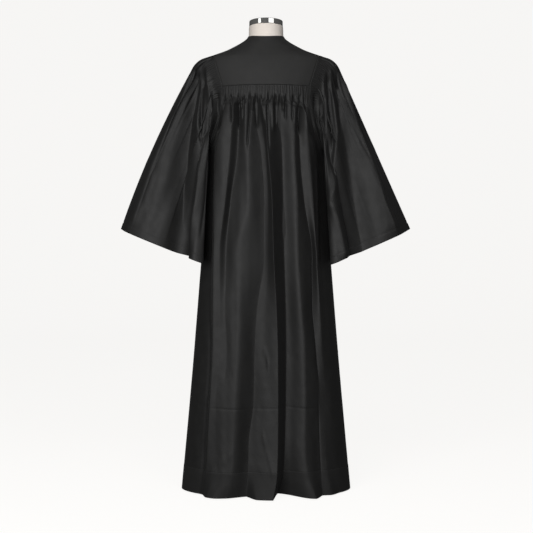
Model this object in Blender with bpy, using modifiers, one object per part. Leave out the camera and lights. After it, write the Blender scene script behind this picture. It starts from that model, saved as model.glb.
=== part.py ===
"""Choir robe on a limbless dress form: a floor-length black robe with a flat back yoke, a gathered back
panel, two plain fronts closed by a centre zip, and bell sleeves gathered into the armholes.

Metres, +Z up. The wearer faces -Y, so the gathered back looks along +Y and the wearer's left is +X.
The origin is on the floor, straight under the form's neck.
"""

import math
from collections import namedtuple

import bmesh
import bpy
import numpy as np
from mathutils import Matrix

# Heights
HEM_Z = 0.003
UNDERARM_Z = 1.050
YOKE_SEAM_Z = 1.243
BAND_Z = 1.199
NECK_SIDE_Z = 1.4065
NECK_BACK_Z = 1.397
NECK_FRONT_Z = 1.362

# Cloth
CLOTH = 0.0015
SEAM_GAP = 0.0003
SIDE_SEAM_GAP = 0.0009
ARMHOLE_GAP = 0.0005
FORM_GAP = 0.0008

# Back yoke and armhole
YOKE_BOTTOM_HALF = 0.134
YOKE_TOP_HALF = 0.1656
FRONT_ARMHOLE_IN = 0.006
ARMHOLE_CURVE = 2.2

# Gathers
FLUTE_DEPTH = 0.0012
GATHER_DEPTH = 0.0022
GATHER_COLUMNS = 4
GATHER_FADE = 0.105
SLEEVE_FLUTE_DEPTH = 0.0009
BAND_OPENS = 0.050
RELEASE_ABOVE = 0.004
RELEASE = 0.075
SLEEVE_GATHERS_ABOVE = 0.030
SLEEVE_GATHERS_GROW = 0.100
STEPS_PER_FOLD = 6

# Zip
ZIP_HALF_GAP = 0.0042
TAPE_HALF = 0.013
TAPE = 0.0008
ZIP_BOTTOM_Z = 0.300
TAPE_DEPTH = 0.0019
# The slider lies on the tape with two lugs that hold the pull tab's pin, all measured from its middle.
SLIDER_Z = 1.335
SLIDER_SIZE = (0.0072, 0.0030, 0.0110)
LUG_SIZE = (0.0010, 0.0042, 0.0034)
LUG_X = 0.0029
LUG_BITE = 0.0004
PIN_RADIUS = 0.0006
PIN_OUT = 0.0050
PIN_UP = 0.0027
EYE_RADIUS = 0.0016
EYE_BORE = 0.00095
EYE_HALF = 0.0021
PULL_THICK = 0.0010
PULL_OUTLINE = ((0.0019, -0.0012), (0.0019, -0.0038), (0.0030, -0.0068), (0.0030, -0.0240), (0.0020, -0.0260))

# Dress form
FORM_BOTTOM_Z = 0.720
NECK_TOP_Z = 1.4397
CAP_TOP_Z = 1.457
CAP_RADIUS = 0.0522
POLE_RADIUS = 0.014
BASE_SIZE = (0.340, 0.170, 0.010)
BASE_CENTRE_Y = -0.026
BASE_CORNER = 0.060
BASE_CORNER_STEPS = 7
CAP_EDGE = 0.0015
FORM_COLUMNS = 28
FORM_ROWS = (
    NECK_TOP_Z, 1.412, 1.403, 1.396, 1.388, 1.378, 1.368, 1.359, 1.350, 1.340,
    1.325, 1.290, 1.230, 1.150, 1.070, 0.990, 0.900, 0.820, 0.760, FORM_BOTTOM_Z,
)

# The robe's outside without its folds: half its width, and how far it stands behind and before the neck.
Section = namedtuple("Section", "z half_width back front")
ROBE = (
    Section(HEM_Z, 0.2625, 0.160, 0.157),
    Section(0.380, 0.2285, 0.150, 0.148),
    Section(0.720, 0.2015, 0.138, 0.139),
    Section(0.880, 0.1890, 0.131, 0.137),
    Section(1.050, 0.1770, 0.120, 0.136),
    Section(1.180, 0.1780, 0.112, 0.133),
    Section(1.232, 0.1820, 0.1075, 0.124),
    Section(1.262, 0.1900, 0.1045, 0.116),
    Section(1.295, 0.2000, 0.100, 0.105),
    Section(1.318, 0.2030, 0.0955, 0.096),
    Section(1.335, 0.1970, 0.0905, 0.088),
    Section(1.344, 0.1770, 0.087, 0.083),
    Section(1.3519, 0.1530, 0.084, 0.078),
    Section(1.3613, 0.1270, 0.080, 0.073),
    Section(1.3707, 0.1075, 0.076, 0.068),
    Section(1.3801, 0.0895, 0.072, 0.064),
    Section(1.3894, 0.0740, 0.068, 0.060),
    Section(1.3988, 0.0620, 0.0645, 0.0565),
    Section(NECK_SIDE_Z, 0.0570, 0.0615, 0.0545),
    Section(NECK_TOP_Z, 0.0555, 0.0555, 0.0545),
)
# The form below the robe's yoke, where the robe hangs free of it.
FORM = (
    Section(FORM_BOTTOM_Z, 0.145, 0.090, 0.082),
    Section(0.790, 0.165, 0.100, 0.092),
    Section(0.880, 0.157, 0.094, 0.092),
    Section(0.990, 0.128, 0.078, 0.088),
    Section(1.080, 0.142, 0.086, 0.106),
    Section(1.150, 0.160, 0.095, 0.121),
    Section(1.215, 0.168, 0.100, 0.118),
    Section(1.262, 0.176, 0.1005, 0.110),
    Section(1.300, 0.182, 0.0955, 0.0980),
    Section(1.325, 0.178, 0.0890, 0.0870),
)
FORM_MEETS_ROBE_Z = 1.350

# Folds from one side to the other: where each crest (out above 0) and valley runs at four levels, from just
# under the gathers to the hem, and how far it stands out there.
Fold = namedtuple("Fold", "x_top x_mid x_low x_hem out_top out_mid out_low out_hem")
FOLD_LEVELS = (HEM_Z, 0.400, 0.726, 1.170)
BACK_FOLDS = (
    Fold(0.139, 0.165, 0.171, 0.194, -0.004, -0.007, -0.009, -0.010),
    Fold(0.121, 0.141, 0.143, 0.176, 0.012, 0.016, 0.020, 0.031),
    Fold(0.085, 0.120, 0.116, 0.148, -0.015, 0.003, 0.012, 0.030),
    Fold(0.063, 0.087, 0.095, 0.114, 0.010, 0.016, 0.020, 0.017),
    Fold(0.030, 0.012, 0.040, 0.062, -0.011, -0.012, -0.018, -0.022),
    Fold(0.010, -0.009, 0.014, 0.024, 0.005, 0.012, 0.022, 0.031),
    Fold(-0.014, -0.0245, -0.030, -0.019, 0.010, 0.018, 0.028, 0.038),
    Fold(-0.034, -0.040, -0.048, -0.033, -0.018, -0.026, -0.040, -0.062),
    Fold(-0.063, -0.090, -0.0965, -0.138, 0.012, 0.018, 0.024, 0.040),
    Fold(-0.103, -0.135, -0.153, -0.166, -0.010, -0.012, -0.010, 0.002),
    Fold(-0.123, -0.157, -0.1736, -0.190, 0.008, 0.011, 0.010, 0.011),
    Fold(-0.139, -0.176, -0.190, -0.225, -0.004, -0.006, -0.005, -0.002),
)
# Folds of each front, from the zip to the side seam.
LEFT_FRONT_FOLDS = (
    Fold(0.046, 0.054, 0.060, 0.066, 0.006, 0.010, 0.012, 0.013),
    Fold(0.076, 0.090, 0.099, 0.112, -0.004, -0.010, -0.013, -0.015),
    Fold(0.104, 0.126, 0.140, 0.158, 0.005, 0.012, 0.015, 0.017),
    Fold(0.132, 0.160, 0.178, 0.200, -0.003, -0.009, -0.011, -0.013),
    Fold(0.152, 0.184, 0.206, 0.234, 0.002, 0.005, 0.008, 0.010),
)
RIGHT_FRONT_FOLDS = (
    Fold(0.040, 0.049, 0.054, 0.060, 0.006, 0.011, 0.013, 0.015),
    Fold(0.069, 0.081, 0.088, 0.098, -0.004, -0.009, -0.011, -0.013),
    Fold(0.098, 0.118, 0.131, 0.149, 0.005, 0.011, 0.015, 0.018),
    Fold(0.129, 0.156, 0.173, 0.193, -0.003, -0.009, -0.012, -0.015),
    Fold(0.151, 0.184, 0.206, 0.232, 0.002, 0.005, 0.007, 0.009),
)

# Rows of points, by height. The yoke and the fronts end on the armhole, the shoulder seam and the neck.
ARMHOLE_BACK_Z = (1.3455, 1.3405, 1.333, 1.315, 1.290, 1.265, YOKE_SEAM_Z)
BACK_TOP_ROWS = (YOKE_SEAM_Z, 1.228, BAND_Z, 1.175, 1.140, 1.105, 1.075, 1.057, UNDERARM_Z)
BACK_LOW_ROWS = (0.970, 0.860, 0.740, 0.590, 0.410, 0.200, HEM_Z)
ARMHOLE_FRONT_Z = (1.3455, 1.3405, 1.325, 1.285, 1.235, 1.180, 1.125, 1.080, 1.058, UNDERARM_Z)
FRONT_LOW_ROWS = (0.970, 0.860, 0.740, 0.590, 0.410, 0.200, HEM_Z)
SHOULDER_SEAM_Z = (NECK_SIDE_Z, 1.390, 1.375, 1.362)
YOKE_COLUMNS = 20
FRONT_STEPS = 3
FOLDS_START_Z = 1.170
FOLDS_GROW = 0.250

# Each sleeve's cuff seen from above, from its outer corner round the back to the line under the arm, and
# from the same corner round the front. The wearer's right is given with x turned positive.
Corner = namedtuple("Corner", "x y")
# A soft fold of a sleeve's back: its line from the shoulder toward the cuff, its half-width and its height.
Crease = namedtuple("Crease", "x_top z_top x_mid z_mid x_low z_low width out")
Sleeve = namedtuple("Sleeve", "cap_reach bulge cuff_z cuff_slope cuff_back cuff_front creases")
LEFT_SLEEVE = Sleeve(
    0.059,
    0.013,
    0.8087,
    0.380,
    (
        Corner(0.453, 0.000),
        Corner(0.436, 0.034),
        Corner(0.380, 0.066),
        Corner(0.315, 0.078),
        Corner(0.268, 0.070),
        Corner(0.246, 0.106),
        Corner(0.216, 0.119),
        Corner(0.189, 0.106),
        Corner(0.198, 0.060),
        Corner(0.210, 0.000),
    ),
    (
        Corner(0.453, 0.000),
        Corner(0.420, -0.038),
        Corner(0.372, -0.070),
        Corner(0.318, -0.084),
        Corner(0.270, -0.076),
        Corner(0.238, -0.104),
        Corner(0.206, -0.098),
        Corner(0.200, -0.055),
        Corner(0.210, 0.000),
    ),
    (
        Crease(0.200, 1.300, 0.196, 1.230, 0.194, 1.160, 0.011, 0.007),
        Crease(0.184, 1.285, 0.166, 1.210, 0.157, 1.145, 0.010, 0.006),
        Crease(0.191, 1.072, 0.203, 0.954, 0.234, 0.802, 0.014, 0.010),
        Crease(0.207, 1.290, 0.238, 1.080, 0.258, 0.800, 0.024, -0.013),
        Crease(0.243, 1.288, 0.270, 1.150, 0.297, 1.045, 0.018, -0.005),
    ),
)
RIGHT_SLEEVE = Sleeve(
    0.056,
    0.000,
    0.8087,
    0.405,
    (
        Corner(0.450, 0.000),
        Corner(0.404, 0.060),
        Corner(0.345, 0.080),
        Corner(0.300, 0.082),
        Corner(0.262, 0.076),
        Corner(0.241, 0.108),
        Corner(0.216, 0.121),
        Corner(0.195, 0.106),
        Corner(0.200, 0.060),
        Corner(0.210, 0.000),
    ),
    (
        Corner(0.450, 0.000),
        Corner(0.414, -0.042),
        Corner(0.366, -0.074),
        Corner(0.306, -0.080),
        Corner(0.262, -0.090),
        Corner(0.234, -0.106),
        Corner(0.206, -0.094),
        Corner(0.201, -0.052),
        Corner(0.210, 0.000),
    ),
    (
        Crease(0.185, 1.280, 0.186, 1.170, 0.185, 1.060, 0.010, 0.007),
        Crease(0.212, 1.227, 0.227, 1.106, 0.200, 0.924, 0.013, 0.009),
        Crease(0.198, 0.890, 0.215, 0.826, 0.231, 0.754, 0.013, 0.007),
        Crease(0.225, 1.200, 0.243, 1.069, 0.264, 0.900, 0.020, -0.012),
        Crease(0.200, 1.250, 0.203, 1.160, 0.204, 1.057, 0.010, -0.006),
    ),
)
CUFF_RISE = 0.080
# The sleeve leaves its seam along the shoulder for this far, then turns down within a share of it.
BACK_REACH = 0.034
UNDERARM_REACH = 0.013
TURN_SHARE = 0.55
CAP_ROWS = (0.0, 0.42, 0.80)
TURN_ROWS = (-0.3, 0.4, 1.0)
FALL_ROWS = (0.18, 0.34, 0.52, 0.74, 1.0)
CREASE_FADE = 0.060
BACK_FACING = 0.4
TURNS_UNDER_Z = 1.190
REACH_FALLS_BY = 0.45
BULGE_ENDS_BY = 0.5

SHARP_ANGLE = math.radians(35)

BLACK_CLOTH = ("robe_cloth", (0.028, 0.028, 0.029), 0.78, 0.0)
BLACK_TAPE = ("zip_tape", (0.018, 0.018, 0.019), 0.85, 0.0)
DARK_METAL = ("zip_metal", (0.05, 0.05, 0.052), 0.35, 1.0)
LINEN = ("form_linen", (0.78, 0.72, 0.66), 0.90, 0.0)
CHROME = ("form_chrome", (0.80, 0.80, 0.81), 0.12, 1.0)
STEEL = ("form_steel", (0.62, 0.62, 0.64), 0.30, 1.0)


def clear_scene():
    for obj in list(bpy.data.objects):
        bpy.data.objects.remove(obj)


def named_material(name, colour, roughness, metallic):
    material = bpy.data.materials.get(name) or bpy.data.materials.new(name)
    material.use_nodes = True
    shader = material.node_tree.nodes["Principled BSDF"]
    shader.inputs["Base Color"].default_value = (*colour, 1.0)
    shader.inputs["Roughness"].default_value = roughness
    shader.inputs["Metallic"].default_value = metallic
    return material


def smoothstep(value):
    value = min(max(value, 0.0), 1.0)
    return value * value * (3.0 - 2.0 * value)


def mix(a, b, share):
    return a + (b - a) * share


def smooth_between(at, knots, values):
    """A curve through the knots that never overshoots them, with its slope kept from knot to knot."""
    knots = np.asarray(knots, float)
    values = np.asarray(values, float)
    if at <= knots[0]:
        return float(values[0])
    if at >= knots[-1]:
        return float(values[-1])
    width = np.diff(knots)
    slope = np.diff(values) / width
    ends = np.zeros(len(knots))
    ends[0], ends[-1] = slope[0], slope[-1]
    for i in range(1, len(knots) - 1):
        if slope[i - 1] * slope[i] > 0:
            near, far = 2 * width[i] + width[i - 1], width[i] + 2 * width[i - 1]
            ends[i] = (near + far) / (near / slope[i - 1] + far / slope[i])
    i = int(np.searchsorted(knots, at)) - 1
    t = (at - knots[i]) / width[i]
    start = (1 + 2 * t) * (1 - t) ** 2 * values[i] + t * (1 - t) ** 2 * width[i] * ends[i]
    end = t * t * (3 - 2 * t) * values[i + 1] + t * t * (t - 1) * width[i] * ends[i + 1]
    return float(start + end)


def section_at(z, table):
    heights = [row.z for row in table]
    return [smooth_between(z, heights, [row[i] for row in table]) for i in (1, 2, 3)]


def half_width(z):
    return section_at(z, ROBE)[0]


def robe_point(angle, z, out=0.0):
    """A point of the robe's outside: angle 0 is the wearer's left and 90 degrees the middle of the back."""
    wide, back, front = section_at(z, ROBE)
    deep = back if math.sin(angle) >= 0 else front
    normal = np.array([deep * math.cos(angle), wide * math.sin(angle), 0.0])
    place = np.array([wide * math.cos(angle), deep * math.sin(angle), z])
    return place + normal / np.linalg.norm(normal) * out


def robe_normal(angle, z):
    step = 0.0005
    round_it = robe_point(angle + 0.01, z) - robe_point(angle - 0.01, z)
    up = robe_point(angle, z + step) - robe_point(angle, z - step)
    normal = np.cross(round_it, up)
    return normal / np.linalg.norm(normal)


def angle_of(x, z):
    return math.acos(min(max(x / half_width(z), -1.0), 1.0))


def armhole_x(z, front):
    """How far the armhole's edge lies from the middle at a height."""
    inset = FRONT_ARMHOLE_IN * math.sin(math.pi * (z - UNDERARM_Z) / (SHOULDER_Z - UNDERARM_Z)) if front else 0
    if z >= YOKE_SEAM_Z:
        rise = (z - YOKE_SEAM_Z) / (SHOULDER_Z - YOKE_SEAM_Z)
        return mix(YOKE_BOTTOM_HALF, YOKE_TOP_HALF, rise) - inset
    drop = (YOKE_SEAM_Z - z) / (YOKE_SEAM_Z - UNDERARM_Z)
    return mix(YOKE_BOTTOM_HALF, half_width(UNDERARM_Z), drop**ARMHOLE_CURVE) - inset


def shoulder_height():
    """Where the shoulder line comes down to the top of the yoke's side edge."""
    low, high = 1.335, NECK_SIDE_Z
    for _ in range(40):
        middle = (low + high) / 2
        low, high = (middle, high) if half_width(middle) > YOKE_TOP_HALF else (low, middle)
    return low


SHOULDER_Z = shoulder_height()


def armhole_angle(z, front=False):
    if z <= UNDERARM_Z or z >= SHOULDER_Z:
        return 0.0
    return angle_of(armhole_x(z, front), z)


class Armhole:
    """The left armhole's seam as a loop of knots: from the shoulder down the back, and up the front."""

    def __init__(self):
        back = [SHOULDER_Z, *ARMHOLE_BACK_Z, *BACK_TOP_ROWS[1:]]
        front = list(reversed(ARMHOLE_FRONT_Z[:-1]))
        self.back_count = len(back)
        angles = [armhole_angle(z) for z in back] + [-armhole_angle(z, True) for z in front]
        self.places = list(zip(angles, back + front))
        self.points = [robe_point(*place) for place in self.places]
        self.normals = [robe_normal(angle, min(z, SHOULDER_Z - 0.0005)) for angle, z in self.places]
        count = len(self.points)
        self.outward = []
        for i in range(count):
            along = self.points[(i + 1) % count] - self.points[i - 1]
            across = np.cross(self.normals[i], along)
            self.outward.append(across / np.linalg.norm(across))
        middle = np.mean(self.points, axis=0)
        if np.dot(self.outward[0], middle - self.points[0]) < 0:
            self.outward = [-direction for direction in self.outward]

    def edge(self, z, front=False, left=True):
        """The garment's edge at this height, half a gap back from the seam, on either side."""
        places = self.places[self.back_count - 1 :] + self.places[:1] if front else self.places[: self.back_count]
        start = self.back_count - 1 if front else 0
        at = min(range(len(places)), key=lambda i: abs(places[i][1] - z))
        i = (start + at) % len(self.points)
        point = self.points[i] - self.outward[i] * ARMHOLE_GAP / 2
        return point * np.array([1.0 if left else -1.0, 1.0, 1.0])


def add_object(name, mesh, look, collection):
    obj = bpy.data.objects.new(name, mesh)
    collection.objects.link(obj)
    mesh.materials.append(named_material(*look))
    return obj


def grid_mesh(name, rows, closed=False):
    """A surface through rows of points, all of the same length, each row joined to the next."""
    columns = len(rows[0])
    points = [tuple(point) for row in rows for point in row]
    faces = []
    for i in range(len(rows) - 1):
        for j in range(columns if closed else columns - 1):
            k = (j + 1) % columns
            faces.append((i * columns + j, (i + 1) * columns + j, (i + 1) * columns + k, i * columns + k))
    mesh = bpy.data.meshes.new(name)
    mesh.from_pydata(points, [], faces)
    mesh.shade_smooth()
    mesh.update()
    return mesh


def cloth_piece(name, rows, collection, closed=False, thickness=CLOTH, look=BLACK_CLOTH):
    """A wall of cloth whose outside runs through the rows of points."""
    obj = add_object(name, grid_mesh(name, rows, closed), look, collection)
    wall = obj.modifiers.new("wall", "SOLIDIFY")
    wall.thickness = thickness
    wall.offset = -1.0
    return obj


def fold_lines(folds, z):
    """Where the folds run and how far they stand out at a height."""
    places, outs = [], []
    for fold in folds:
        places.append(smooth_between(z, FOLD_LEVELS, (fold.x_hem, fold.x_low, fold.x_mid, fold.x_top)))
        heights = (fold.out_hem, fold.out_low, fold.out_mid, fold.out_top)
        outs.append(smooth_between(z, FOLD_LEVELS, heights))
    return places, outs


def between_folds(stations, outs, column, steps):
    """The angle and the height of the fold at a column, with a round crest and a round valley."""
    i = min(column // steps, len(stations) - 2)
    share = column / steps - i
    wave = 0.5 - 0.5 * math.cos(math.pi * share)
    return mix(stations[i], stations[i + 1], share), mix(outs[i], outs[i + 1], wave)


def back_panel_rows(armhole):
    columns = (len(BACK_FOLDS) + 1) * STEPS_PER_FOLD
    rows = []
    for z in (*BACK_TOP_ROWS, *BACK_LOW_ROWS):
        places, outs = fold_lines(BACK_FOLDS, z)
        edge = armhole_angle(z)
        stations = [edge, *[angle_of(x, z) for x in places], math.pi - edge]
        outs = [0.0, *outs, 0.0]
        drawn_in = 1 - smoothstep((BAND_Z - z) / BAND_OPENS)
        released = smoothstep((BAND_Z + RELEASE_ABOVE - z) / RELEASE)
        fading = 1 - smoothstep((BAND_Z - z) / GATHER_FADE)
        row = []
        for column in range(columns + 1):
            angle, out = between_folds(stations, outs, column, STEPS_PER_FOLD)
            even = mix(edge, math.pi - edge, column / columns)
            flute = FLUTE_DEPTH * (1 if column % 2 else -1) * drawn_in
            gather = GATHER_DEPTH * math.cos(2 * math.pi * column / GATHER_COLUMNS) * (1 - drawn_in) * fading
            row.append(robe_point(mix(angle, even, drawn_in), z, out * released + flute + gather))
        if z == YOKE_SEAM_Z:
            row = [point - np.array([0.0, 0.0, SEAM_GAP]) for point in row]
        if z >= UNDERARM_Z:
            row[0] = armhole.edge(z)
            row[-1] = armhole.edge(z, left=False)
        if z == YOKE_SEAM_Z:
            row[0][2] = row[-1][2] = z - SEAM_GAP
        rows.append(side_seam_gap(row, z, both=True))
    return rows


def side_seam_gap(row, z, both=False):
    """Draws a row's ends back from the side seam, so that the back and the front stay apart there."""
    if z <= UNDERARM_Z:
        ends = (0, -1) if both else (0,)
        for end in ends:
            toward = 1.0 if row[len(row) // 2][1] > 0 else -1.0
            row[end] = row[end] + np.array([0.0, toward * SIDE_SEAM_GAP / 2, 0.0])
    return row


def yoke_rows(armhole):
    edge_heights = (*SHOULDER_SEAM_Z, SHOULDER_Z, *ARMHOLE_BACK_Z)
    rows = []
    for i, z in enumerate(edge_heights):
        middle_z = mix(NECK_BACK_Z, YOKE_SEAM_Z, i / (len(edge_heights) - 1))
        edge_x = half_width(z) if z >= SHOULDER_Z else armhole_x(z, front=False)
        row = []
        for column in range(YOKE_COLUMNS + 1):
            across = math.sin(math.pi * (0.5 - column / YOKE_COLUMNS))
            height = mix(middle_z, z, across * across)
            row.append(robe_point(angle_of(across * edge_x, height), height))
        if z >= SHOULDER_Z:
            for end in (0, -1):
                row[end] = row[end] + np.array([0.0, SIDE_SEAM_GAP / 2, 0.0])
        if z <= SHOULDER_Z:
            row[0] = armhole.edge(z)
            row[-1] = armhole.edge(z, left=False)
            if z == SHOULDER_Z:
                for end in (0, -1):
                    row[end] = row[end] + np.array([0.0, SIDE_SEAM_GAP / 2, 0.0])
        rows.append(row)
    return rows


def front_middle_z(edge_z):
    """The height at the zip of the row that meets the armhole or the shoulder seam at edge_z."""
    share = (edge_z - UNDERARM_Z) / (NECK_SIDE_Z - UNDERARM_Z)
    return edge_z if share <= 0 else mix(UNDERARM_Z, NECK_FRONT_Z, share)


def front_heights():
    return (*SHOULDER_SEAM_Z, SHOULDER_Z, *ARMHOLE_FRONT_Z, *FRONT_LOW_ROWS)


def front_rows(folds, armhole, left):
    side = 1.0 if left else -1.0
    columns = (len(folds) + 1) * FRONT_STEPS
    rows = []
    for edge_z in front_heights():
        middle_z = front_middle_z(edge_z)
        row = []
        for column in range(columns + 1):
            share = column / columns
            z = mix(edge_z, middle_z, share)
            places, outs = fold_lines(folds[::-1], z)
            hanging = smoothstep((FOLDS_START_Z - z) / FOLDS_GROW)
            edge = armhole_angle(edge_z, True)
            stations = [edge, *[max(angle_of(x, z), edge) for x in places], angle_of(ZIP_HALF_GAP, z)]
            angle, out = between_folds(stations, [0.0, *outs, 0.0], column, FRONT_STEPS)
            edge_x = armhole_x(edge_z, front=True) if UNDERARM_Z < edge_z < SHOULDER_Z else half_width(edge_z)
            even = angle_of(mix(edge_x, ZIP_HALF_GAP, share), z)
            point = robe_point(-mix(even, angle, hanging), z, out * hanging)
            row.append(point * np.array([side, 1.0, 1.0]))
        if edge_z >= SHOULDER_Z:
            row[0] = row[0] - np.array([0.0, SIDE_SEAM_GAP / 2, 0.0])
        if UNDERARM_Z <= edge_z <= SHOULDER_Z:
            row[0] = armhole.edge(edge_z, front=True, left=left)
            if edge_z == SHOULDER_Z:
                row[0] = row[0] - np.array([0.0, SIDE_SEAM_GAP / 2, 0.0])
        rows.append(side_seam_gap(row, edge_z))
    return [list(reversed(row)) for row in rows] if left else rows


def smooth_loop(corners, count):
    """Points spread evenly along a smooth curve through the corners."""
    at = np.arange(len(corners))
    fine = np.linspace(0, len(corners) - 1, 200)
    xs = [smooth_between(t, at, [corner.x for corner in corners]) for t in fine]
    ys = [smooth_between(t, at, [corner.y for corner in corners]) for t in fine]
    length = np.concatenate([[0], np.cumsum(np.hypot(np.diff(xs), np.diff(ys)))])
    wanted = np.asarray(count) * length[-1]
    return [np.array([np.interp(s, length, xs), np.interp(s, length, ys)]) for s in wanted]


def sleeve_columns(armhole):
    """The seam's knots with chord points between them: place, way out, normal and share round each half."""
    count = len(armhole.points)
    columns = []
    for i in range(count):
        steps = 3 if i < len(ARMHOLE_BACK_Z) else 2 if i < armhole.back_count + 1 else 1 + (i % 2)
        for step in range(steps):
            share, k = step / steps, (i + 1) % count
            columns.append([mix(a[i], a[k], share) for a in (armhole.points, armhole.outward, armhole.normals)])
    return columns


def sleeve_rows(armhole, sleeve):
    columns = sleeve_columns(armhole)
    points = np.array([column[0] for column in columns])
    length = np.concatenate([[0], np.cumsum(np.linalg.norm(np.diff(points, axis=0), axis=1))])
    under = int(points[:, 2].argmin())
    total = length[-1] + np.linalg.norm(points[0] - points[-1])
    back = length[: under + 1] / length[under]
    front = (total - length[under:]) / (total - length[under])
    cuff = smooth_loop(sleeve.cuff_back, back) + smooth_loop(sleeve.cuff_front, front)[1:]
    rows = [[] for _ in range(len(CAP_ROWS) + len(TURN_ROWS) + len(FALL_ROWS))]
    for j, (point, outward, normal) in enumerate(columns):
        half = back[j] if j <= under else front[j - under]
        low = smoothstep((TURNS_UNDER_Z - point[2]) / (TURNS_UNDER_Z - UNDERARM_Z))
        reach = mix(sleeve.cap_reach, BACK_REACH, smoothstep(half / REACH_FALLS_BY))
        reach = mix(reach, UNDERARM_REACH, low)
        way = mix(outward, normal, low)
        way = way / np.linalg.norm(way)
        x, y = cuff[j]
        end = np.array([x, y, sleeve.cuff_z - (sleeve.cuff_back[0].x - x) * sleeve.cuff_slope - y * CUFF_RISE])
        start = point + outward * ARMHOLE_GAP / 2
        bulge = sleeve.bulge * (1 - smoothstep(half / BULGE_ENDS_BY))
        for row, place in zip(rows, sleeve_path(start, way * reach, end, bulge)):
            row.append(place)
    return fold_sleeve([np.array(row) for row in rows], sleeve.creases)


def sleeve_path(start, reach, end, bulge):
    """The places of one column: along the shoulder, round the turn and down to the cuff."""
    turn = start + reach
    size = np.linalg.norm(reach)
    radius = TURN_SHARE * size
    way = reach / size
    fall = np.linalg.norm(end - turn)
    down = (end - turn) / fall
    places = [start + way * (size - radius) * share for share in CAP_ROWS]
    for share in TURN_ROWS:
        before, after = (1 - share) ** 2 * radius / 4, (1 + share) ** 2 * radius / 4
        places.append(turn - way * before + down * after)
    for share in FALL_ROWS:
        belly = np.array([bulge * 4 * share * (1 - share), 0.0, 0.0])
        places.append(mix(turn + down * radius, end, share) + belly)
    return places


def loop_normals(rows):
    """The way out of the sleeve at each of its points."""
    grid = np.array(rows)
    around = np.roll(grid, -1, axis=1) - np.roll(grid, 1, axis=1)
    along = np.gradient(grid, axis=0)
    normals = np.cross(along, around)
    return normals / np.linalg.norm(normals, axis=2, keepdims=True)


def distance_to_line(x, z, line):
    """How far a point of the back view lies from a line of three points, and how far past its ends."""
    best, beyond = 1.0, 0.0
    for (x0, z0), (x1, z1) in zip(line, line[1:]):
        size = math.hypot(x1 - x0, z1 - z0)
        along = ((x - x0) * (x1 - x0) + (z - z0) * (z1 - z0)) / size**2
        held = min(max(along, 0.0), 1.0)
        away = abs((x - x0) * (z1 - z0) - (z - z0) * (x1 - x0)) / size
        past = abs(along - held) * size
        if math.hypot(away, past) < best:
            best, beyond = math.hypot(away, past), past
            side = away
    return (side, beyond) if best < 1.0 else (1.0, 1.0)


def fold_sleeve(rows, creases):
    normals = loop_normals(rows)
    folded = []
    for i, row in enumerate(rows):
        cap = 1 - smoothstep((i - len(CAP_ROWS) + 1) / 3)
        made = []
        for j, point in enumerate(row):
            gathered = smoothstep((point[2] - UNDERARM_Z - SLEEVE_GATHERS_ABOVE) / SLEEVE_GATHERS_GROW)
            out = SLEEVE_FLUTE_DEPTH * (1 if j % 2 else -1) * cap * gathered if i else 0.0
            behind = smoothstep(normals[i][j][1] / BACK_FACING) * (1 - cap)
            for crease in creases if behind > 0 else ():
                line = ((crease.x_top, crease.z_top), (crease.x_mid, crease.z_mid), (crease.x_low, crease.z_low))
                away, past = distance_to_line(point[0], point[2], line)
                share = math.exp(-((away / crease.width) ** 2)) * (1 - smoothstep(past / CREASE_FADE))
                out += crease.out * share * behind
            made.append(point + normals[i][j] * out)
        folded.append(made)
    return folded


def build_sleeves(armhole, collection):
    cloth_piece("sleeve_left", sleeve_rows(armhole, LEFT_SLEEVE), collection, closed=True)
    mirrored = sleeve_rows(armhole, RIGHT_SLEEVE)
    right = [[point * np.array([-1.0, 1.0, 1.0]) for point in reversed(row)] for row in mirrored]
    cloth_piece("sleeve_right", right, collection, closed=True)


def build_tape(collection):
    """The zip's tape behind the two front edges."""
    heights = [front_middle_z(edge_z) for edge_z in front_heights()]
    rows = []
    for z in [*[z for z in heights if z > ZIP_BOTTOM_Z], ZIP_BOTTOM_Z]:
        row = []
        for x in (-TAPE_HALF, -ZIP_HALF_GAP, ZIP_HALF_GAP, TAPE_HALF):
            angle = -angle_of(x, z)
            row.append(robe_point(angle, z) - robe_normal(angle, z) * TAPE_DEPTH)
        rows.append(row)
    cloth_piece("zip_tape", rows, collection, thickness=TAPE, look=BLACK_TAPE)


def slider_frame():
    """Where the slider lies: x across, y into the cloth and z up along it."""
    middle = -math.pi / 2
    normal = robe_normal(middle, SLIDER_Z)
    place = robe_point(middle, SLIDER_Z) - normal * (TAPE_DEPTH - SEAM_GAP)
    up = np.cross(np.array([1.0, 0.0, 0.0]), -normal)
    frame = Matrix.Identity(4)
    for row in range(3):
        frame[row][0] = (1.0, 0.0, 0.0)[row]
        frame[row][1] = -normal[row]
        frame[row][2] = up[row]
        frame[row][3] = place[row]
    return frame


def box(name, size, place, look, collection, frame):
    shift = Matrix.Translation(place) @ Matrix.Diagonal((*size, 1.0))
    return primitive(name, lambda shape: bmesh.ops.create_cube(shape, size=1.0), look, collection, frame @ shift)


def rod(name, radius, length, look, collection, frame, segments=20):
    """A rod along x through the pin's middle."""
    turn = Matrix.Translation((0.0, -PIN_OUT, PIN_UP)) @ Matrix.Rotation(math.pi / 2, 4, "Y")

    def make(shape):
        bmesh.ops.create_cone(
            shape, cap_ends=True, segments=segments, radius1=radius, radius2=radius, depth=length
        )

    return primitive(name, make, look, collection, frame @ turn)


def combine(obj, other, operation):
    other.hide_render = True
    other.display_type = "WIRE"
    join = obj.modifiers.new(operation.lower(), "BOOLEAN")
    join.operation = operation
    join.solver = "EXACT"
    join.object = other


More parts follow.
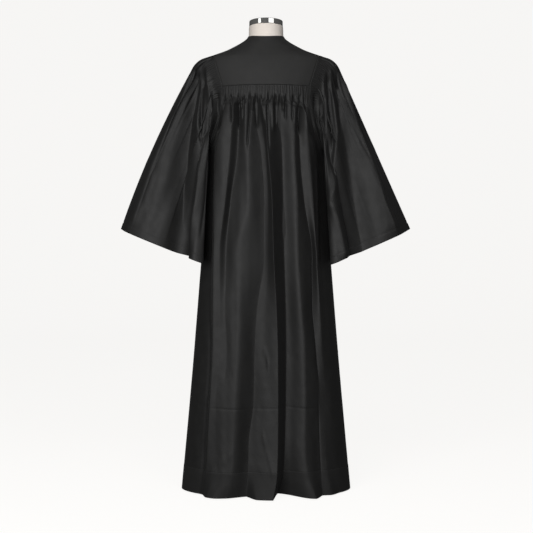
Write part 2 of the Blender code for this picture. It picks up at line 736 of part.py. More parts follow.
def build_slider(collection, tools):
    frame = slider_frame()
    _, thick, _ = SLIDER_SIZE
    body = box("zip_slider", SLIDER_SIZE, (0.0, -thick / 2, 0.0), DARK_METAL, collection, frame)
    for side in (1, -1):
        place = (side * LUG_X, -thick - LUG_SIZE[1] / 2 + LUG_BITE, PIN_UP)
        lug = box("lug", LUG_SIZE, place, DARK_METAL, tools, frame)
        combine(body, lug, "UNION")
    combine(body, rod("pin", PIN_RADIUS, 2 * LUG_X, DARK_METAL, tools, frame), "UNION")


def build_pull(collection, tools):
    """The pull tab: a flat plate with an eye that turns on the slider's pin."""
    frame = slider_frame()
    outline = [*PULL_OUTLINE, *[(-x, z) for x, z in reversed(PULL_OUTLINE)]]
    pull = plate("zip_pull", outline, PULL_THICK, DARK_METAL, collection, frame, flat=False)
    combine(pull, rod("eye", EYE_RADIUS, 2 * EYE_HALF, DARK_METAL, tools, frame), "UNION")
    combine(pull, rod("eye_bore", EYE_BORE, 4 * EYE_HALF, DARK_METAL, tools, frame), "DIFFERENCE")


def primitive(name, make, look, collection, matrix):
    mesh = bpy.data.meshes.new(name)
    shape = bmesh.new()
    make(shape)
    bmesh.ops.transform(shape, matrix=matrix, verts=shape.verts)
    shape.to_mesh(mesh)
    shape.free()
    mesh.shade_smooth()
    mesh.set_sharp_from_angle(angle=SHARP_ANGLE)
    return add_object(name, mesh, look, collection)


def form_section(z):
    """The form's sections: its own below, and the robe's shoulders drawn in by the cloth and a gap above."""
    clear = CLOTH + FORM_GAP
    upper = [size - clear for size in section_at(z + clear, ROBE)]
    if z >= FORM_MEETS_ROBE_Z:
        return upper
    lower = section_at(z, FORM)
    heights = [row.z for row in FORM] + [FORM_MEETS_ROBE_Z]
    meeting = [size - clear for size in section_at(FORM_MEETS_ROBE_Z + clear, ROBE)]
    return [
        smooth_between(z, heights, [row[i + 1] for row in FORM] + [meeting[i]]) for i in range(len(lower))
    ]


def build_form(collection):
    rows = []
    for z in FORM_ROWS:
        wide, back, front = form_section(z)
        row = []
        for column in range(FORM_COLUMNS):
            angle = 2 * math.pi * column / FORM_COLUMNS
            deep = back if math.sin(angle) >= 0 else front
            row.append((wide * math.cos(angle), deep * math.sin(angle), z))
        rows.append(row)
    mesh = grid_mesh("form_torso", rows, closed=True)
    shape = bmesh.new()
    shape.from_mesh(mesh)
    bmesh.ops.holes_fill(shape, edges=shape.edges)
    bmesh.ops.recalc_face_normals(shape, faces=shape.faces)
    shape.to_mesh(mesh)
    shape.free()
    add_object("form_torso", mesh, LINEN, collection)


def build_stand(collection):
    """The polished neck cap, the pole under the form and the plate that it stands on."""
    cap_height = CAP_TOP_Z - NECK_TOP_Z - SEAM_GAP
    cap = primitive(
        "form_neck_cap",
        lambda shape: bmesh.ops.create_cone(
            shape, cap_ends=True, segments=40, radius1=CAP_RADIUS, radius2=CAP_RADIUS, depth=cap_height
        ),
        CHROME,
        collection,
        Matrix.Translation((0, 0, CAP_TOP_Z - cap_height / 2)),
    )
    edge = cap.modifiers.new("edge", "BEVEL")
    edge.width = CAP_EDGE
    edge.segments = 2
    edge.limit_method = "ANGLE"
    wide, deep, thick = BASE_SIZE
    outline = []
    for turn, (side, way) in enumerate(((1, 1), (-1, 1), (-1, -1), (1, -1))):
        centre_x = side * (wide / 2 - BASE_CORNER)
        centre_y = BASE_CENTRE_Y + way * (deep / 2 - BASE_CORNER)
        for step in range(BASE_CORNER_STEPS):
            angle = math.pi / 2 * (turn + step / (BASE_CORNER_STEPS - 1))
            outline.append((centre_x + BASE_CORNER * math.cos(angle), centre_y + BASE_CORNER * math.sin(angle)))
    plate("form_base", outline, thick, STEEL, collection)
    pole_height = FORM_BOTTOM_Z - thick - 2 * SEAM_GAP
    primitive(
        "form_pole",
        lambda shape: bmesh.ops.create_cone(
            shape, cap_ends=True, segments=20, radius1=POLE_RADIUS, radius2=POLE_RADIUS, depth=pole_height
        ),
        STEEL,
        collection,
        Matrix.Translation((0, 0, thick + SEAM_GAP + pole_height / 2)),
    )


def plate(name, outline, thick, look, collection, frame=None, flat=True):
    """A flat plate over an outline: lying on the floor, or standing in a frame when flat is off."""
    count = len(outline)
    if flat:
        points = [(x, y, z) for z in (0.0, thick) for x, y in outline]
    else:
        points = [(x, side * thick / 2 - PIN_OUT, PIN_UP + z) for side in (-1, 1) for x, z in outline]
    faces = [tuple(range(count)), tuple(reversed(range(count, 2 * count)))]
    faces += [(i, i + count, (i + 1) % count + count, (i + 1) % count) for i in range(count)]
    mesh = bpy.data.meshes.new(name)
    mesh.from_pydata(points, [], faces)
    shape = bmesh.new()
    shape.from_mesh(mesh)
    bmesh.ops.recalc_face_normals(shape, faces=shape.faces)
    bmesh.ops.transform(shape, matrix=frame or Matrix.Identity(4), verts=shape.verts)
    shape.to_mesh(mesh)
    shape.free()
    mesh.shade_smooth()
    mesh.set_sharp_from_angle(angle=SHARP_ANGLE)
    return add_object(name, mesh, look, collection)


def main():
    clear_scene()
    collection = bpy.data.collections.new("choir_robe")
    bpy.context.scene.collection.children.link(collection)
    armhole = Armhole()
    cloth_piece("yoke_back", yoke_rows(armhole), collection)
    cloth_piece("back_panel", back_panel_rows(armhole), collection)
    cloth_piece("front_left", front_rows(LEFT_FRONT_FOLDS, armhole, left=True), collection)
    cloth_piece("front_right", front_rows(RIGHT_FRONT_FOLDS, armhole, left=False), collection)
    build_sleeves(armhole, collection)
    build_tape(collection)
    tools = bpy.data.collections.new("cutters")
    bpy.context.scene.collection.children.link(tools)
    build_slider(collection, tools)
    build_pull(collection, tools)
    build_form(collection)
    build_stand(collection)


main()
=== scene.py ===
import math
from collections import namedtuple

import bmesh
import bpy
import numpy as np
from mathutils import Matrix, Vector


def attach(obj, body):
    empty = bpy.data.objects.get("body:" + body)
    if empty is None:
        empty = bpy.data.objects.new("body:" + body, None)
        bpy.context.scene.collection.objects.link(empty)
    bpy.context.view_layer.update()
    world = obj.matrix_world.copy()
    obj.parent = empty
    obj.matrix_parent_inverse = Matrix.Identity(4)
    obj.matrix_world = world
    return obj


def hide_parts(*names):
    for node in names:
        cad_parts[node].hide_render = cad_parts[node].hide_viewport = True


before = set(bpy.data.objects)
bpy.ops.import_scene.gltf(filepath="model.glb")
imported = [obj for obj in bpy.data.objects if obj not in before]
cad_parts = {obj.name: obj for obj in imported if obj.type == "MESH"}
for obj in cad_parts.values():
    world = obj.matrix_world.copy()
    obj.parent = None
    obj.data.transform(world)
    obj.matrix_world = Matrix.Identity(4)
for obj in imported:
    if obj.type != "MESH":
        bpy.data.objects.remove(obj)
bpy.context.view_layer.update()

# The robe's own sizes, in metres, as its solids have them.
HEM_Z = 0.003
UNDERARM_Z = 1.050
YOKE_SEAM_Z = 1.243
BAND_MIDDLE_Z = 1.200
BAND_TILT = 0.0081
NECK_SIDE_Z = 1.4065
NECK_BACK_Z = 1.397
YOKE_TOP_MIDDLE_Z = 1.352
NECK_FRONT_Z = 1.362
CLOTH = 0.0015
SEAM_GAP = 0.0003
SIDE_SEAM_GAP = 0.0009
ARMHOLE_GAP = 0.0005
FORM_GAP = 0.0008
YOKE_BOTTOM_HALF = 0.134
YOKE_TOP_HALF = 0.1656
FRONT_ARMHOLE_IN = 0.006
ARMHOLE_CURVE = 2.2
BAND_OPENS = 0.026
SLEEVE_GATHERS_ABOVE = 0.140
SLEEVE_GATHERS_GROW = 0.030
ZIP_HALF_GAP = 0.0042
TAPE_DEPTH = 0.0019
ZIP_BOTTOM_Z = 0.300
ZIP_TOP_Z = 1.3595
SLIDER_Z = 1.335
FORM_BOTTOM_Z = 0.720
NECK_TOP_Z = 1.4397
FORM_MEETS_ROBE_Z = 1.350
FOLDS_START_Z = 1.170
FOLDS_GROW = 0.250

# Finer than the solids: how the small gathers, the band and the hems lie.
FLUTES = 39
FLUTE_DEPTH = 0.0006
# How the flutes drift: how far, how often across the back, and where each drift begins.
FLUTE_DRIFTS = ((0.22, 7.3, 0), (0.10, 17.1, 1))
FLUTE_RANGE = (0.35, 1.35)
FLUTE_FADE_AT = (0, 0.03, 0.08, 0.93, 1)
FLUTE_FADE = (0.2, 0.4, 1, 1, 0.4)
TUCK_POWER = 5
PUFF_POWER = 1.5
PUFF = 0.0012
PUFF_BELOW = 0.006
PUFF_UNEVEN = 0.004
PUFF_HEIGHT = 0.007
BAND_ROLL = 0.0016
BAND_ROLL_BELOW = 0.020
BAND_ROLL_HEIGHT = 0.016
SLEEVE_FLUTE = 0.0068
SLEEVE_FLUTE_DEPTH = 0.0007
SLEEVE_FLUTE_RANGE = (0.3, 1.4)
SLEEVE_FADE_AT = (0, 0.10, 0.20, 0.9, 1)
SLEEVE_FADE = (0.15, 0.25, 1, 1, 0.5)
SLEEVE_PUFF = 0.0030
SLEEVE_PUFF_LEVEL = 2.6
SLEEVE_PUFF_REACH = 1.1
RELEASE_ABOVE = 0.003
RELEASE = 0.026
HEM_DEEP = 0.077
CUFF_HEM = 0.024
HEM_STEP = 0.0005
HEM_STEP_HEIGHT = 0.0015
YOKE_SEAM_DIP = 0.00042
ARMHOLE_SEAM_DIP = 0.00156
SEAM_WIDTH = 0.0025
ARMHOLE_SEAM_WIDTH = 0.0022
PLACKET_X = 0.012
PLACKET_GROOVE = 0.0008
PLACKET_WIDTH = 0.0018
# The angles of the form's long seams: at both sides, three behind and three in front.
BACK, FRONT = math.pi / 2, -math.pi / 2
FORM_SEAMS = (0, BACK - 0.9, BACK, BACK + 0.9, math.pi, FRONT - 0.75, FRONT, FRONT + 0.75)
FORM_SEAM_WIDTH = 0.035
STITCH = 0.0026
STITCH_LENGTH = 0.62
STITCH_HALF_THICK = 0.00022
# Along a stitch: shares of its length, and how far out of the cloth it lies there.
STITCH_SHARES = np.array([-0.5, -0.3, 0.3, 0.5])
STITCH_LIFTS = np.array([-0.00018, 0.00012, 0.00012, -0.00018])
STITCH_SIDES = 4
TOOTH_PITCH = 0.0021
TOOTH_SIZE = np.array([0.0021, 0.00085, 0.00072])
TOOTH_OUTLINE = ((-1, -1), (0.9, -1), (1, 0), (0.9, 1), (-1, 1))

# The tables are in millimetres, and these turn their rows into metres.
Section = namedtuple("Section", "z half_width back front")
Fold = namedtuple("Fold", "places outs sharp", defaults=(0.0,))
Crease = namedtuple("Crease", "points inner outer out sharp")
Corner = namedtuple("Corner", "x y")
Sleeve = namedtuple("Sleeve", "cap_reach bulge cuff_z cuff_slope cuff_back cuff_front creases gaps")


def metres(row):
    return tuple(size / 1000 for size in row)


def sections(*rows):
    return tuple(Section(*metres(row)) for row in rows)


def folds(*rows):
    return tuple(Fold(metres(row[0]), metres(row[1]), *row[2:]) for row in rows)


def creases(*rows):
    return tuple(Crease(tuple(map(metres, row[0])), *metres(row[1:4]), row[4]) for row in rows)


def corners(*rows):
    return tuple(Corner(*metres(row)) for row in rows)


ROBE = sections(
    (3, 262.5, 160, 157),
    (380, 228.5, 150, 148),
    (720, 201.5, 138, 139),
    (880, 189, 131, 137),
    (1050, 177, 120, 136),
    (1180, 178, 112, 133),
    (1232, 182, 107.5, 124),
    (1262, 190, 104.5, 116),
    (1295, 200, 100, 105),
    (1318, 203, 95.5, 96),
    (1335, 197, 90.5, 88),
    (1344, 177, 87, 83),
    (1351.9, 153, 84, 78),
    (1361.3, 127, 80, 73),
    (1370.7, 107.5, 76, 68),
    (1380.1, 89.5, 72, 64),
    (1389.4, 74, 68, 60),
    (1398.8, 62, 64.5, 56.5),
    (1406.5, 57, 61.5, 54.5),
    (1439.7, 55.5, 55.5, 54.5),
)
FORM = sections(
    (720, 145, 90, 82),
    (790, 165, 100, 92),
    (880, 157, 94, 92),
    (990, 128, 78, 88),
    (1080, 142, 86, 106),
    (1150, 160, 95, 121),
    (1215, 168, 100, 118),
    (1262, 176, 100.5, 110),
    (1300, 182, 95.5, 98),
    (1325, 178, 89, 87),
)

# The back's folds from the wearer's left to their right: where each one runs at these heights, how far it
# stands behind the plain robe there, and how sharp its edge is, from 0, round, to 1, creased.
BACK_LEVELS = metres((3, 70, 165, 286, 438, 560, 726, 893, 1045, 1142, 1190))
BACK_FOLDS = folds(
    ((202, 192, 186, 177.5, 170, 170.5, 167, 164, 160, 138, 133),
     (-6, -4, -4, -5, -7, -9, -26, -30, -22, -2, 0), 0.3),
    ((192, 181, 175.5, 168.5, 161, 160, 158, 156, 150, 131, 127),
     (-2, 20, 23, 27, 30, 32, 35, 42, 40, 26, 10), 0.6),
    ((180, 155, 149, 149, 140.5, 140.5, 140.5, 122, 109, 102.5, 99.5),
     (29, 20, 18, 20, 21, 23, 25, 27, 24, 19, 10), 0.2),
    ((159.5, 130, 125, 128, 116.5, 122.5, 120, 106, 85, 81, 82),
     (33, 18, 17, 19, 14, 14, 4, 0, -3, -6, -5), 0.3),
    ((119, 103, 98, 96, 89, 89, 90, 57, 58, 62.5, 64), (18, 15, 15, 18, 15, 14, 10, 8, 6, 7, 5), 0.1),
    ((59, 53, 51, 36.5, 33, 27, 3, 4, 15, 29, 29),
     (-20, -18, -19, -20, -19, -18, -18, -18, -17, -12, -7), 0.7),
    ((27, 36, 34, 22, 12, 6, -6, -6, 2, 16, 19), (21, -12, -15, -15, -15, -14, -13, -13, -12, -7, -2), 0),
    ((-21, -33, -36, -36.5, -35.5, -31.5, -22.5, -18, -5, 0.5, 4), (28, 12, 6, 4, 4, 6, 9, 9, 9, 10, 6), 1),
    ((-36, -53, -57, -60, -61, -60, -55, -52, -49, -42, -43),
     (-66, -42, -34, -36, -37, -37, -36, -34, -32, -16, -7), 0.4),
    ((-150, -126, -118, -120, -118, -108, -99, -96, -87, -87, -83),
     (32, 6, 0, 1, 1, -1, -8, -8, -8, 3, 5), 0.15),
    ((-170, -164, -160, -162, -153, -141.5, -141, -116, -103, -100.5, -102.5),
     (-2, -8, -8, -7, -9, -18, -19, -22, -19, -11, -6), 0.7),
    ((-200, -186, -181.5, -183, -172, -164, -153, -144, -132.5, -121, -117.5),
     (8, 0, -2, -2, 0, 4, 8, 0, 1, 8, 4), 0.3),
    ((-224, -208, -202.5, -199.5, -191, -179.5, -166, -165, -161, -138.5, -130),
     (-3, 0, 0, 0, -1, -3, -16, -28, -24, -3, 0), 0.3),
)
FRONT_LEVELS = metres((3, 400, 726, 1170))
LEFT_FRONT_FOLDS = folds(
    ((66, 60, 54, 46), (13, 12, 10, 6)),
    ((112, 99, 90, 76), (-15, -13, -10, -4)),
    ((158, 140, 126, 104), (17, 15, 12, 5)),
    ((200, 178, 160, 132), (-13, -11, -9, -3)),
    ((234, 206, 184, 152), (10, 8, 5, 2)),
)
RIGHT_FRONT_FOLDS = folds(
    ((60, 54, 49, 40), (15, 13, 11, 6)),
    ((98, 88, 81, 69), (-13, -11, -9, -4)),
    ((149, 131, 118, 98), (18, 15, 11, 5)),
    ((193, 173, 156, 129), (-15, -12, -9, -3)),
    ((232, 206, 184, 151), (9, 7, 5, 2)),
)

# A crease: its points (across, height) in the back view, its reach toward the middle and away from it, how
# far it stands out, and how sharp it is. First the small gathers that hang out of the band into the folds.
GATHERS = creases(
    (((126.5, 1206), (133, 1172), (146.8, 1112)), 4, 4, -11, 0.8),
    (((108.5, 1208), (105.8, 1132)), 4, 4, -11, 0.8),
    (((98.5, 1204), (97.5, 1150)), 5, 5, 4.4, 0.2),
    (((84, 1208), (82.4, 1116)), 4.5, 4.5, -9.9, 0.8),
    (((74, 1204), (74, 1170)), 4, 4, 4.4, 0.2),
    (((67.5, 1208), (70.4, 1138)), 2.7, 2.7, -6.6, 0.8),
    (((50, 1208), (50, 1150), (57.8, 1056)), 4, 4, -9.9, 0.8),
    (((41, 1204), (41, 1165)), 4, 4, 4.4, 0.2),
    (((31, 1208), (27.8, 1116)), 5.4, 5.4, -9.9, 0.8),
    (((16, 1204), (12, 1175), (6, 1130)), 5, 6, 6.6, 0.1),
    (((-6, 1208), (-4, 1150), (-8.6, 1054)), 3.2, 3.2, -9.9, 0.8),
    (((-17.5, 1204), (-20.5, 1150), (-22, 1105)), 4.5, 4.5, 6.6, 0.2),
    (((-30, 1208), (-30, 1126)), 3.6, 3.6, -8.8, 0.8),
    (((-43, 1208), (-39.8, 1116)), 4, 4, -8.8, 0.8),
    (((-52, 1204), (-52, 1165)), 4, 4, 4.4, 0.2),
    (((-61, 1208), (-59, 1140)), 3.2, 3.2, -8.8, 0.8),
    (((-84, 1208), (-82.1, 1136)), 4, 4, -9.9, 0.8),
    (((-103, 1206), (-99.4, 1096)), 4, 4, -9.9, 0.8),
)
# Longer and finer creases lower down.
BACK_CREASES = creases(
    (((-100, 1192), (-120, 1155), (-140, 1075), (-155, 1010)), 4, 6, 5, 0.6),
    (((-117, 1200), (-126, 1150), (-138, 1085)), 4, 4, -5, 0.4),
    (((-153, 999), (-156, 860), (-156, 705)), 3, 3, 5, 0.5),
    (((177, 270), (186, 165), (191, 60)), 2, 3, -2, 0.6),
    (((167, 520), (169, 400), (176, 290)), 2, 3, -3, 0.6),
    (((-158, 290), (-162, 165), (-167, 60)), 2, 2, -2, 0.7),
    (((-140, 705), (-142, 560), (-158, 360)), 4, 3, -3, 0.7),
    (((10, 445), (-4, 420), (-6, 385)), 4, 4, 2, 0.5),
    (((12, 196), (4, 170), (1, 150)), 4, 4, 2, 0.4),
    (((172, 70), (130, 112), (96, 136)), 5, 5, 1.6, 0.4),
    (((126, 369), (114, 372), (100, 370)), 3, 3, -1.2, 0.6),
    (((-3, 135), (-16, 93), (-22, 60)), 5, 5, 1.6, 0.3),
    (((-80, 150), (-104, 142), (-122, 150)), 5, 5, 1.4, 0.3),
    (((-46, 460), (-70, 425), (-98, 412)), 6, 6, -1.6, 0.3),
    (((160, 267), (60, 265)), 3, 3, -0.9, 0.7),
    (((44, 266), (-36, 268)), 3, 3, -0.8, 0.7),
    (((-54, 270), (-150, 264)), 3, 3, -0.9, 0.7),
)
LEFT_SLEEVE_CREASES = creases(
    (((205, 1315), (208.5, 1250), (211.5, 1190), (214.5, 1120)), 7, 11, 8, 0.1),
    (((183, 1290), (174, 1230), (166, 1165), (160, 1110)), 12, 10, 8, 0.1),
    (((189, 1300), (198, 1245), (199.5, 1180), (199.5, 1085)), 5, 5, -9, 0.4),
    (((223.5, 1115), (199, 1083)), 3, 4, -3, 0.7),
    (((166, 1128), (198, 1083)), 4, 3, -3, 0.7),
    (((199, 1085), (196, 1050), (200, 1010)), 3, 4, -3, 0.6),
    (((191, 1072), (200, 1021), (203, 954), (212, 887), (234, 802), (246, 736)), 12, 16, 12, 0.4),
    (((206, 1294), (232, 1166), (246, 1045), (247, 893), (258, 690)), 20, 60, -35, 0.2),
    (((243, 1288), (276, 1118), (296, 1045), (318, 910)), 26, 44, 10, 0),
    (((222, 1320), (240, 1240), (262, 1150)), 9, 12, 4, 0.2),
    (((176, 1020), (181, 900), (196, 790)), 7, 6, -4, 0.2),
    (((300, 940), (322, 860), (352, 800)), 16, 18, -3, 0),
    (((345, 985), (372, 905), (410, 830)), 14, 16, 3, 0),
)
RIGHT_SLEEVE_CREASES = creases(
    (((188, 1275.5), (200, 1166), (203, 1057)), 5, 5, -8, 0.4),
    (((178, 1285), (186, 1170), (185, 1060)), 8, 8, 7, 0.1),
    (((180, 1272), (184, 1226), (178, 1190)), 3, 3, -4, 0.5),
    (((197, 1262), (205, 1173), (211.5, 1110)), 4, 4, -5, 0.4),
    (((198, 1300), (204, 1262), (210, 1205)), 6, 7, 5, 0.2),
    (((210, 1227), (222, 1106), (212, 1021), (202, 924), (196, 887)), 10, 32, 13, 0.2),
    (((196, 887), (215, 826.5), (231, 754), (237, 717)), 10, 30, 12, 0.3),
    (((218, 1270), (250, 1069), (262, 984), (272, 893), (300, 690)), 34, 50, -30, 0.1),
    (((218, 1300), (232, 1225), (232, 1110)), 7, 10, -5, 0.2),
    (((312.5, 1045), (340, 972), (361, 893), (398.5, 796)), 60, 14, 13, 0.7),
    (((178, 1020), (182, 900), (188, 790)), 6, 6, -4, 0.2),
)

LEFT_SLEEVE = Sleeve(
    cap_reach=0.059, bulge=0.013, cuff_z=0.8087, cuff_slope=0.38,
    cuff_back=corners(
        (453, 0), (436, 34), (380, 66), (315, 78), (268, 70), (246, 106), (216, 119), (189, 106), (198, 60),
        (210, 0),
    ),
    cuff_front=corners(
        (453, 0), (420, -38), (372, -70), (318, -84), (270, -76), (238, -104), (206, -98), (200, -55),
        (210, 0),
    ),
    creases=LEFT_SLEEVE_CREASES,
    gaps=creases(
        (((151, 1206), (155.5, 1150), (159, 1050), (166, 950)), 6, 8, -20, 0.2),
    ),
)
RIGHT_SLEEVE = Sleeve(
    cap_reach=0.056, bulge=0, cuff_z=0.8087, cuff_slope=0.405,
    cuff_back=corners(
        (450, 0), (404, 60), (345, 80), (300, 82), (262, 76), (241, 108), (216, 121), (195, 106), (200, 60),
        (210, 0),
    ),
    cuff_front=corners(
        (450, 0), (414, -42), (366, -74), (306, -80), (262, -90), (234, -106), (206, -94), (201, -52),
        (210, 0),
    ),
    creases=RIGHT_SLEEVE_CREASES,
    gaps=creases(
        (((152, 1206), (159, 1150), (161, 1050), (168, 950)), 6, 8, -18, 0.2),
        (((168, 1206), (170, 1160), (164, 1090)), 3, 4, -9, 0.3),
        (((192, 1210), (195, 1170), (193, 1120)), 3, 4, -7, 0.3),
    ),
)
# The back panel's rows: from one height to another, and how many.
BACK_ROWS = (
    (YOKE_SEAM_Z, 1.212, 9), (1.209, 1.165, 19), (1.162, 1.100, 15), (1.094, UNDERARM_Z, 8),
    (1.040, 0.460, 44), (0.450, 0.290, 15), (0.276, 0.258, 8), (0.248, 0.090, 14), (0.081, 0.073, 7),
    (0.068, HEM_Z + 0.004, 7), (HEM_Z + 0.0015, HEM_Z, 2),
)
# How a sleeve leaves its armhole and hangs.
CUFF_RISE = 0.080
BACK_REACH = 0.034
UNDERARM_REACH = 0.013
TURN_SHARE = 0.55
CREASE_FADE = 0.100
BACK_FACING = 0.4
TURNS_UNDER_Z = 1.190
REACH_FALLS_BY = 0.45
BULGE_ENDS_BY = 0.5
NEAR_ROWS = 11
TURN_ROWS = 22
TURN_LEVEL = 2
FALL_LEVEL = 5
# The sleeve's columns are closer together round the top, where its head is gathered.
COLUMNS_EVEN = (0, 0.34, 0.66, 1)
COLUMNS_AT = (0, 0.28, 0.72, 1)

Light = namedtuple("Light", "name place target size energy")
LIGHTS = (
    Light("key", (1.15, 3.45, 1.20), (0, 0, 0.95), (2.4, 1.7), 71.0),
    Light("fill", (-2.0, 2.9, 1.1), (0, 0, 0.7), (1.2, 1.8), 6.0),
    Light("top", (0.0, 2.9, 2.95), (0, 0, 1.3), (3.0, 0.8), 30.0),
    # Two dim panels that the polished neck cap shows as its upright bright bars.
    Light("panel_left", (2.24, 2.55, 2.20), (0, 0, 1.45), (1.4, 0.5), 4.5),
    Light("panel_right", (-1.92, 2.80, 2.20), (0, 0, 1.45), (2.1, 0.5), 6.0),
)
CAMERA_PLACE = (-0.0015, 3.2, 0.6915)
CAMERA_LENS = 69.2
CAMERA_SENSOR = 36.0
STUDIO_COLOUR = (1.0, 0.995, 0.985, 1)
STUDIO_STRENGTH = 0.06
PAPER_GLOW = (1.0, 0.992, 0.978, 1)
PAPER_GLOW_STRENGTH = 0.90


def smoothstep(value):
    value = np.clip(value, 0.0, 1.0)
    return value * value * (3.0 - 2.0 * value)


def mix(a, b, share):
    return a + (b - a) * share


def bell(distance, width):
    return np.exp(-((distance / width) ** 2))


def tucks(wave):
    """Narrow tucks between round pleats."""
    return -(0.5 * wave + 0.5 * (2 * ((1 + wave) / 2) ** TUCK_POWER - 1))


def turned_hem(above, groove=0.0004, width=0.0018):
    """The step of the doubled cloth under a hem's stitch line, and the groove along it."""
    return HEM_STEP * smoothstep(-above / HEM_STEP_HEIGHT) - groove * bell(above, width)


def smooth_between(at, knots, values):
    """A curve through the knots that never overshoots them."""
    at, knots, values = (np.asarray(a, float) for a in (at, knots, values))
    width = np.diff(knots)
    slope = np.diff(values) / width
    ends = np.zeros(len(knots))
    ends[0], ends[-1] = slope[0], slope[-1]
    same = slope[:-1] * slope[1:] > 0
    near, far = 2 * width[1:] + width[:-1], width[1:] + 2 * width[:-1]
    before, after = np.where(same, slope[:-1], 1.0), np.where(same, slope[1:], 1.0)
    ends[1:-1] = np.where(same, (near + far) / (near / before + far / after), 0.0)
    held = np.clip(at, knots[0], knots[-1])
    i = np.clip(np.searchsorted(knots, held) - 1, 0, len(knots) - 2)
    t = (held - knots[i]) / width[i]
    start = (1 + 2 * t) * (1 - t) ** 2 * values[i] + t * (1 - t) ** 2 * width[i] * ends[i]
    return start + t * t * (3 - 2 * t) * values[i + 1] + t * t * (t - 1) * width[i] * ends[i + 1]


def section_at(z, table):
    heights = [row.z for row in table]
    return [smooth_between(z, heights, [row[i] for row in table]) for i in (1, 2, 3)]


def half_width(z):
    return section_at(z, ROBE)[0]


def robe_point(angle, z, out=0.0):
    """Points of the robe's outside: angle 0 is the wearer's left and 90 degrees the middle of the back."""
    angle, z, out = np.broadcast_arrays(*(np.asarray(a, float) for a in (angle, z, out)))
    wide, back, front = section_at(z, ROBE)
    deep = np.where(np.sin(angle) >= 0, back, front)
    normal = np.stack([deep * np.cos(angle), wide * np.sin(angle)], -1)
    normal /= np.linalg.norm(normal, axis=-1, keepdims=True)
    place = np.stack([wide * np.cos(angle), deep * np.sin(angle), z], -1)
    place[..., :2] += normal * out[..., None]
    return place


def robe_normal(angle, z):
    step = 0.0005
    round_it = robe_point(angle + 0.01, z) - robe_point(angle - 0.01, z)
    up = robe_point(angle, z + step) - robe_point(angle, z - step)
    normal = np.cross(round_it, up)
    return normal / np.linalg.norm(normal, axis=-1, keepdims=True)


def angle_of(x, z):
    return np.arccos(np.clip(x / half_width(z), -1.0, 1.0))


def shoulder_height():
    low, high = 1.335, NECK_SIDE_Z
    for _ in range(40):
        middle = (low + high) / 2
        low, high = (middle, high) if half_width(middle) > YOKE_TOP_HALF else (low, middle)
    return low


SHOULDER_Z = shoulder_height()


def armhole_x(z, front):
    """How far the armhole's edge lies from the middle at each height."""
    z = np.asarray(z, float)
    up = (z - UNDERARM_Z) / (SHOULDER_Z - UNDERARM_Z)
    inset = FRONT_ARMHOLE_IN * np.sin(math.pi * up) if front else 0.0
    rise = (z - YOKE_SEAM_Z) / (SHOULDER_Z - YOKE_SEAM_Z)
    drop = np.clip((YOKE_SEAM_Z - z) / (YOKE_SEAM_Z - UNDERARM_Z), 0.0, 1.0)
    low = mix(YOKE_BOTTOM_HALF, float(half_width(UNDERARM_Z)), drop**ARMHOLE_CURVE)
    return np.where(z >= YOKE_SEAM_Z, mix(YOKE_BOTTOM_HALF, YOKE_TOP_HALF, rise), low) - inset


def armhole_angle(z, front=False):
    z = np.asarray(z, float)
    inside = (z > UNDERARM_Z) & (z < SHOULDER_Z)
    held = np.clip(z, UNDERARM_Z + 1e-6, SHOULDER_Z - 1e-6)
    return np.where(inside, angle_of(armhole_x(held, front), held), 0.0)


def unit(v):
    return v / np.maximum(np.linalg.norm(v, axis=-1, keepdims=True), 1e-12)


class Armhole:
    """The left armhole's seam as a fine loop: from the shoulder down the back, and up the front."""

    def __init__(self, steps=260):
        down = (1 - np.cos(np.pi * np.linspace(0, 1, steps))) / 2
        z = mix(SHOULDER_Z, UNDERARM_Z, down)
        angles = np.concatenate([armhole_angle(z), -armhole_angle(z, True)[::-1][1:-1]])
        heights = np.concatenate([z, z[::-1][1:-1]])
        self.back_count = steps
        self.points = robe_point(angles, heights)
        self.normals = robe_normal(angles, np.minimum(heights, SHOULDER_Z - 0.0005))
        along = np.roll(self.points, -1, axis=0) - np.roll(self.points, 1, axis=0)
        self.outward = unit(np.cross(self.normals, along))
        if np.dot(self.outward[0], self.points.mean(0) - self.points[0]) < 0:
            self.outward = -self.outward
        self.z = heights

    def edge(self, z, front=False, left=True):
        """The garment's edge at each height, half a gap back from the seam."""
        edge = self.points - self.outward * ARMHOLE_GAP / 2
        side = slice(self.back_count - 1, None) if front else slice(0, self.back_count)
        heights, places = self.z[side], edge[side]
        if front:
            heights, places = np.append(heights, self.z[0]), np.vstack([places, edge[:1]])
        order = np.argsort(heights)
        got = np.stack([np.interp(z, heights[order], places[order, k]) for k in range(3)], -1)
        return got * np.array([1.0 if left else -1.0, 1.0, 1.0])

    def spread(self, share):
        """The loop's points, ways out and normals at even or uneven shares of its length."""
        closed = [np.vstack([a, a[:1]]) for a in (self.points, self.outward, self.normals)]
        length = np.concatenate([[0], np.cumsum(np.linalg.norm(np.diff(closed[0], axis=0), axis=1))])
        at = np.asarray(share) * length[-1]
        found = [np.stack([np.interp(at, length, a[:, k]) for k in range(3)], -1) for a in closed]
        return found[0], unit(found[1]), unit(found[2]), at, length[self.back_count - 1], length[-1]


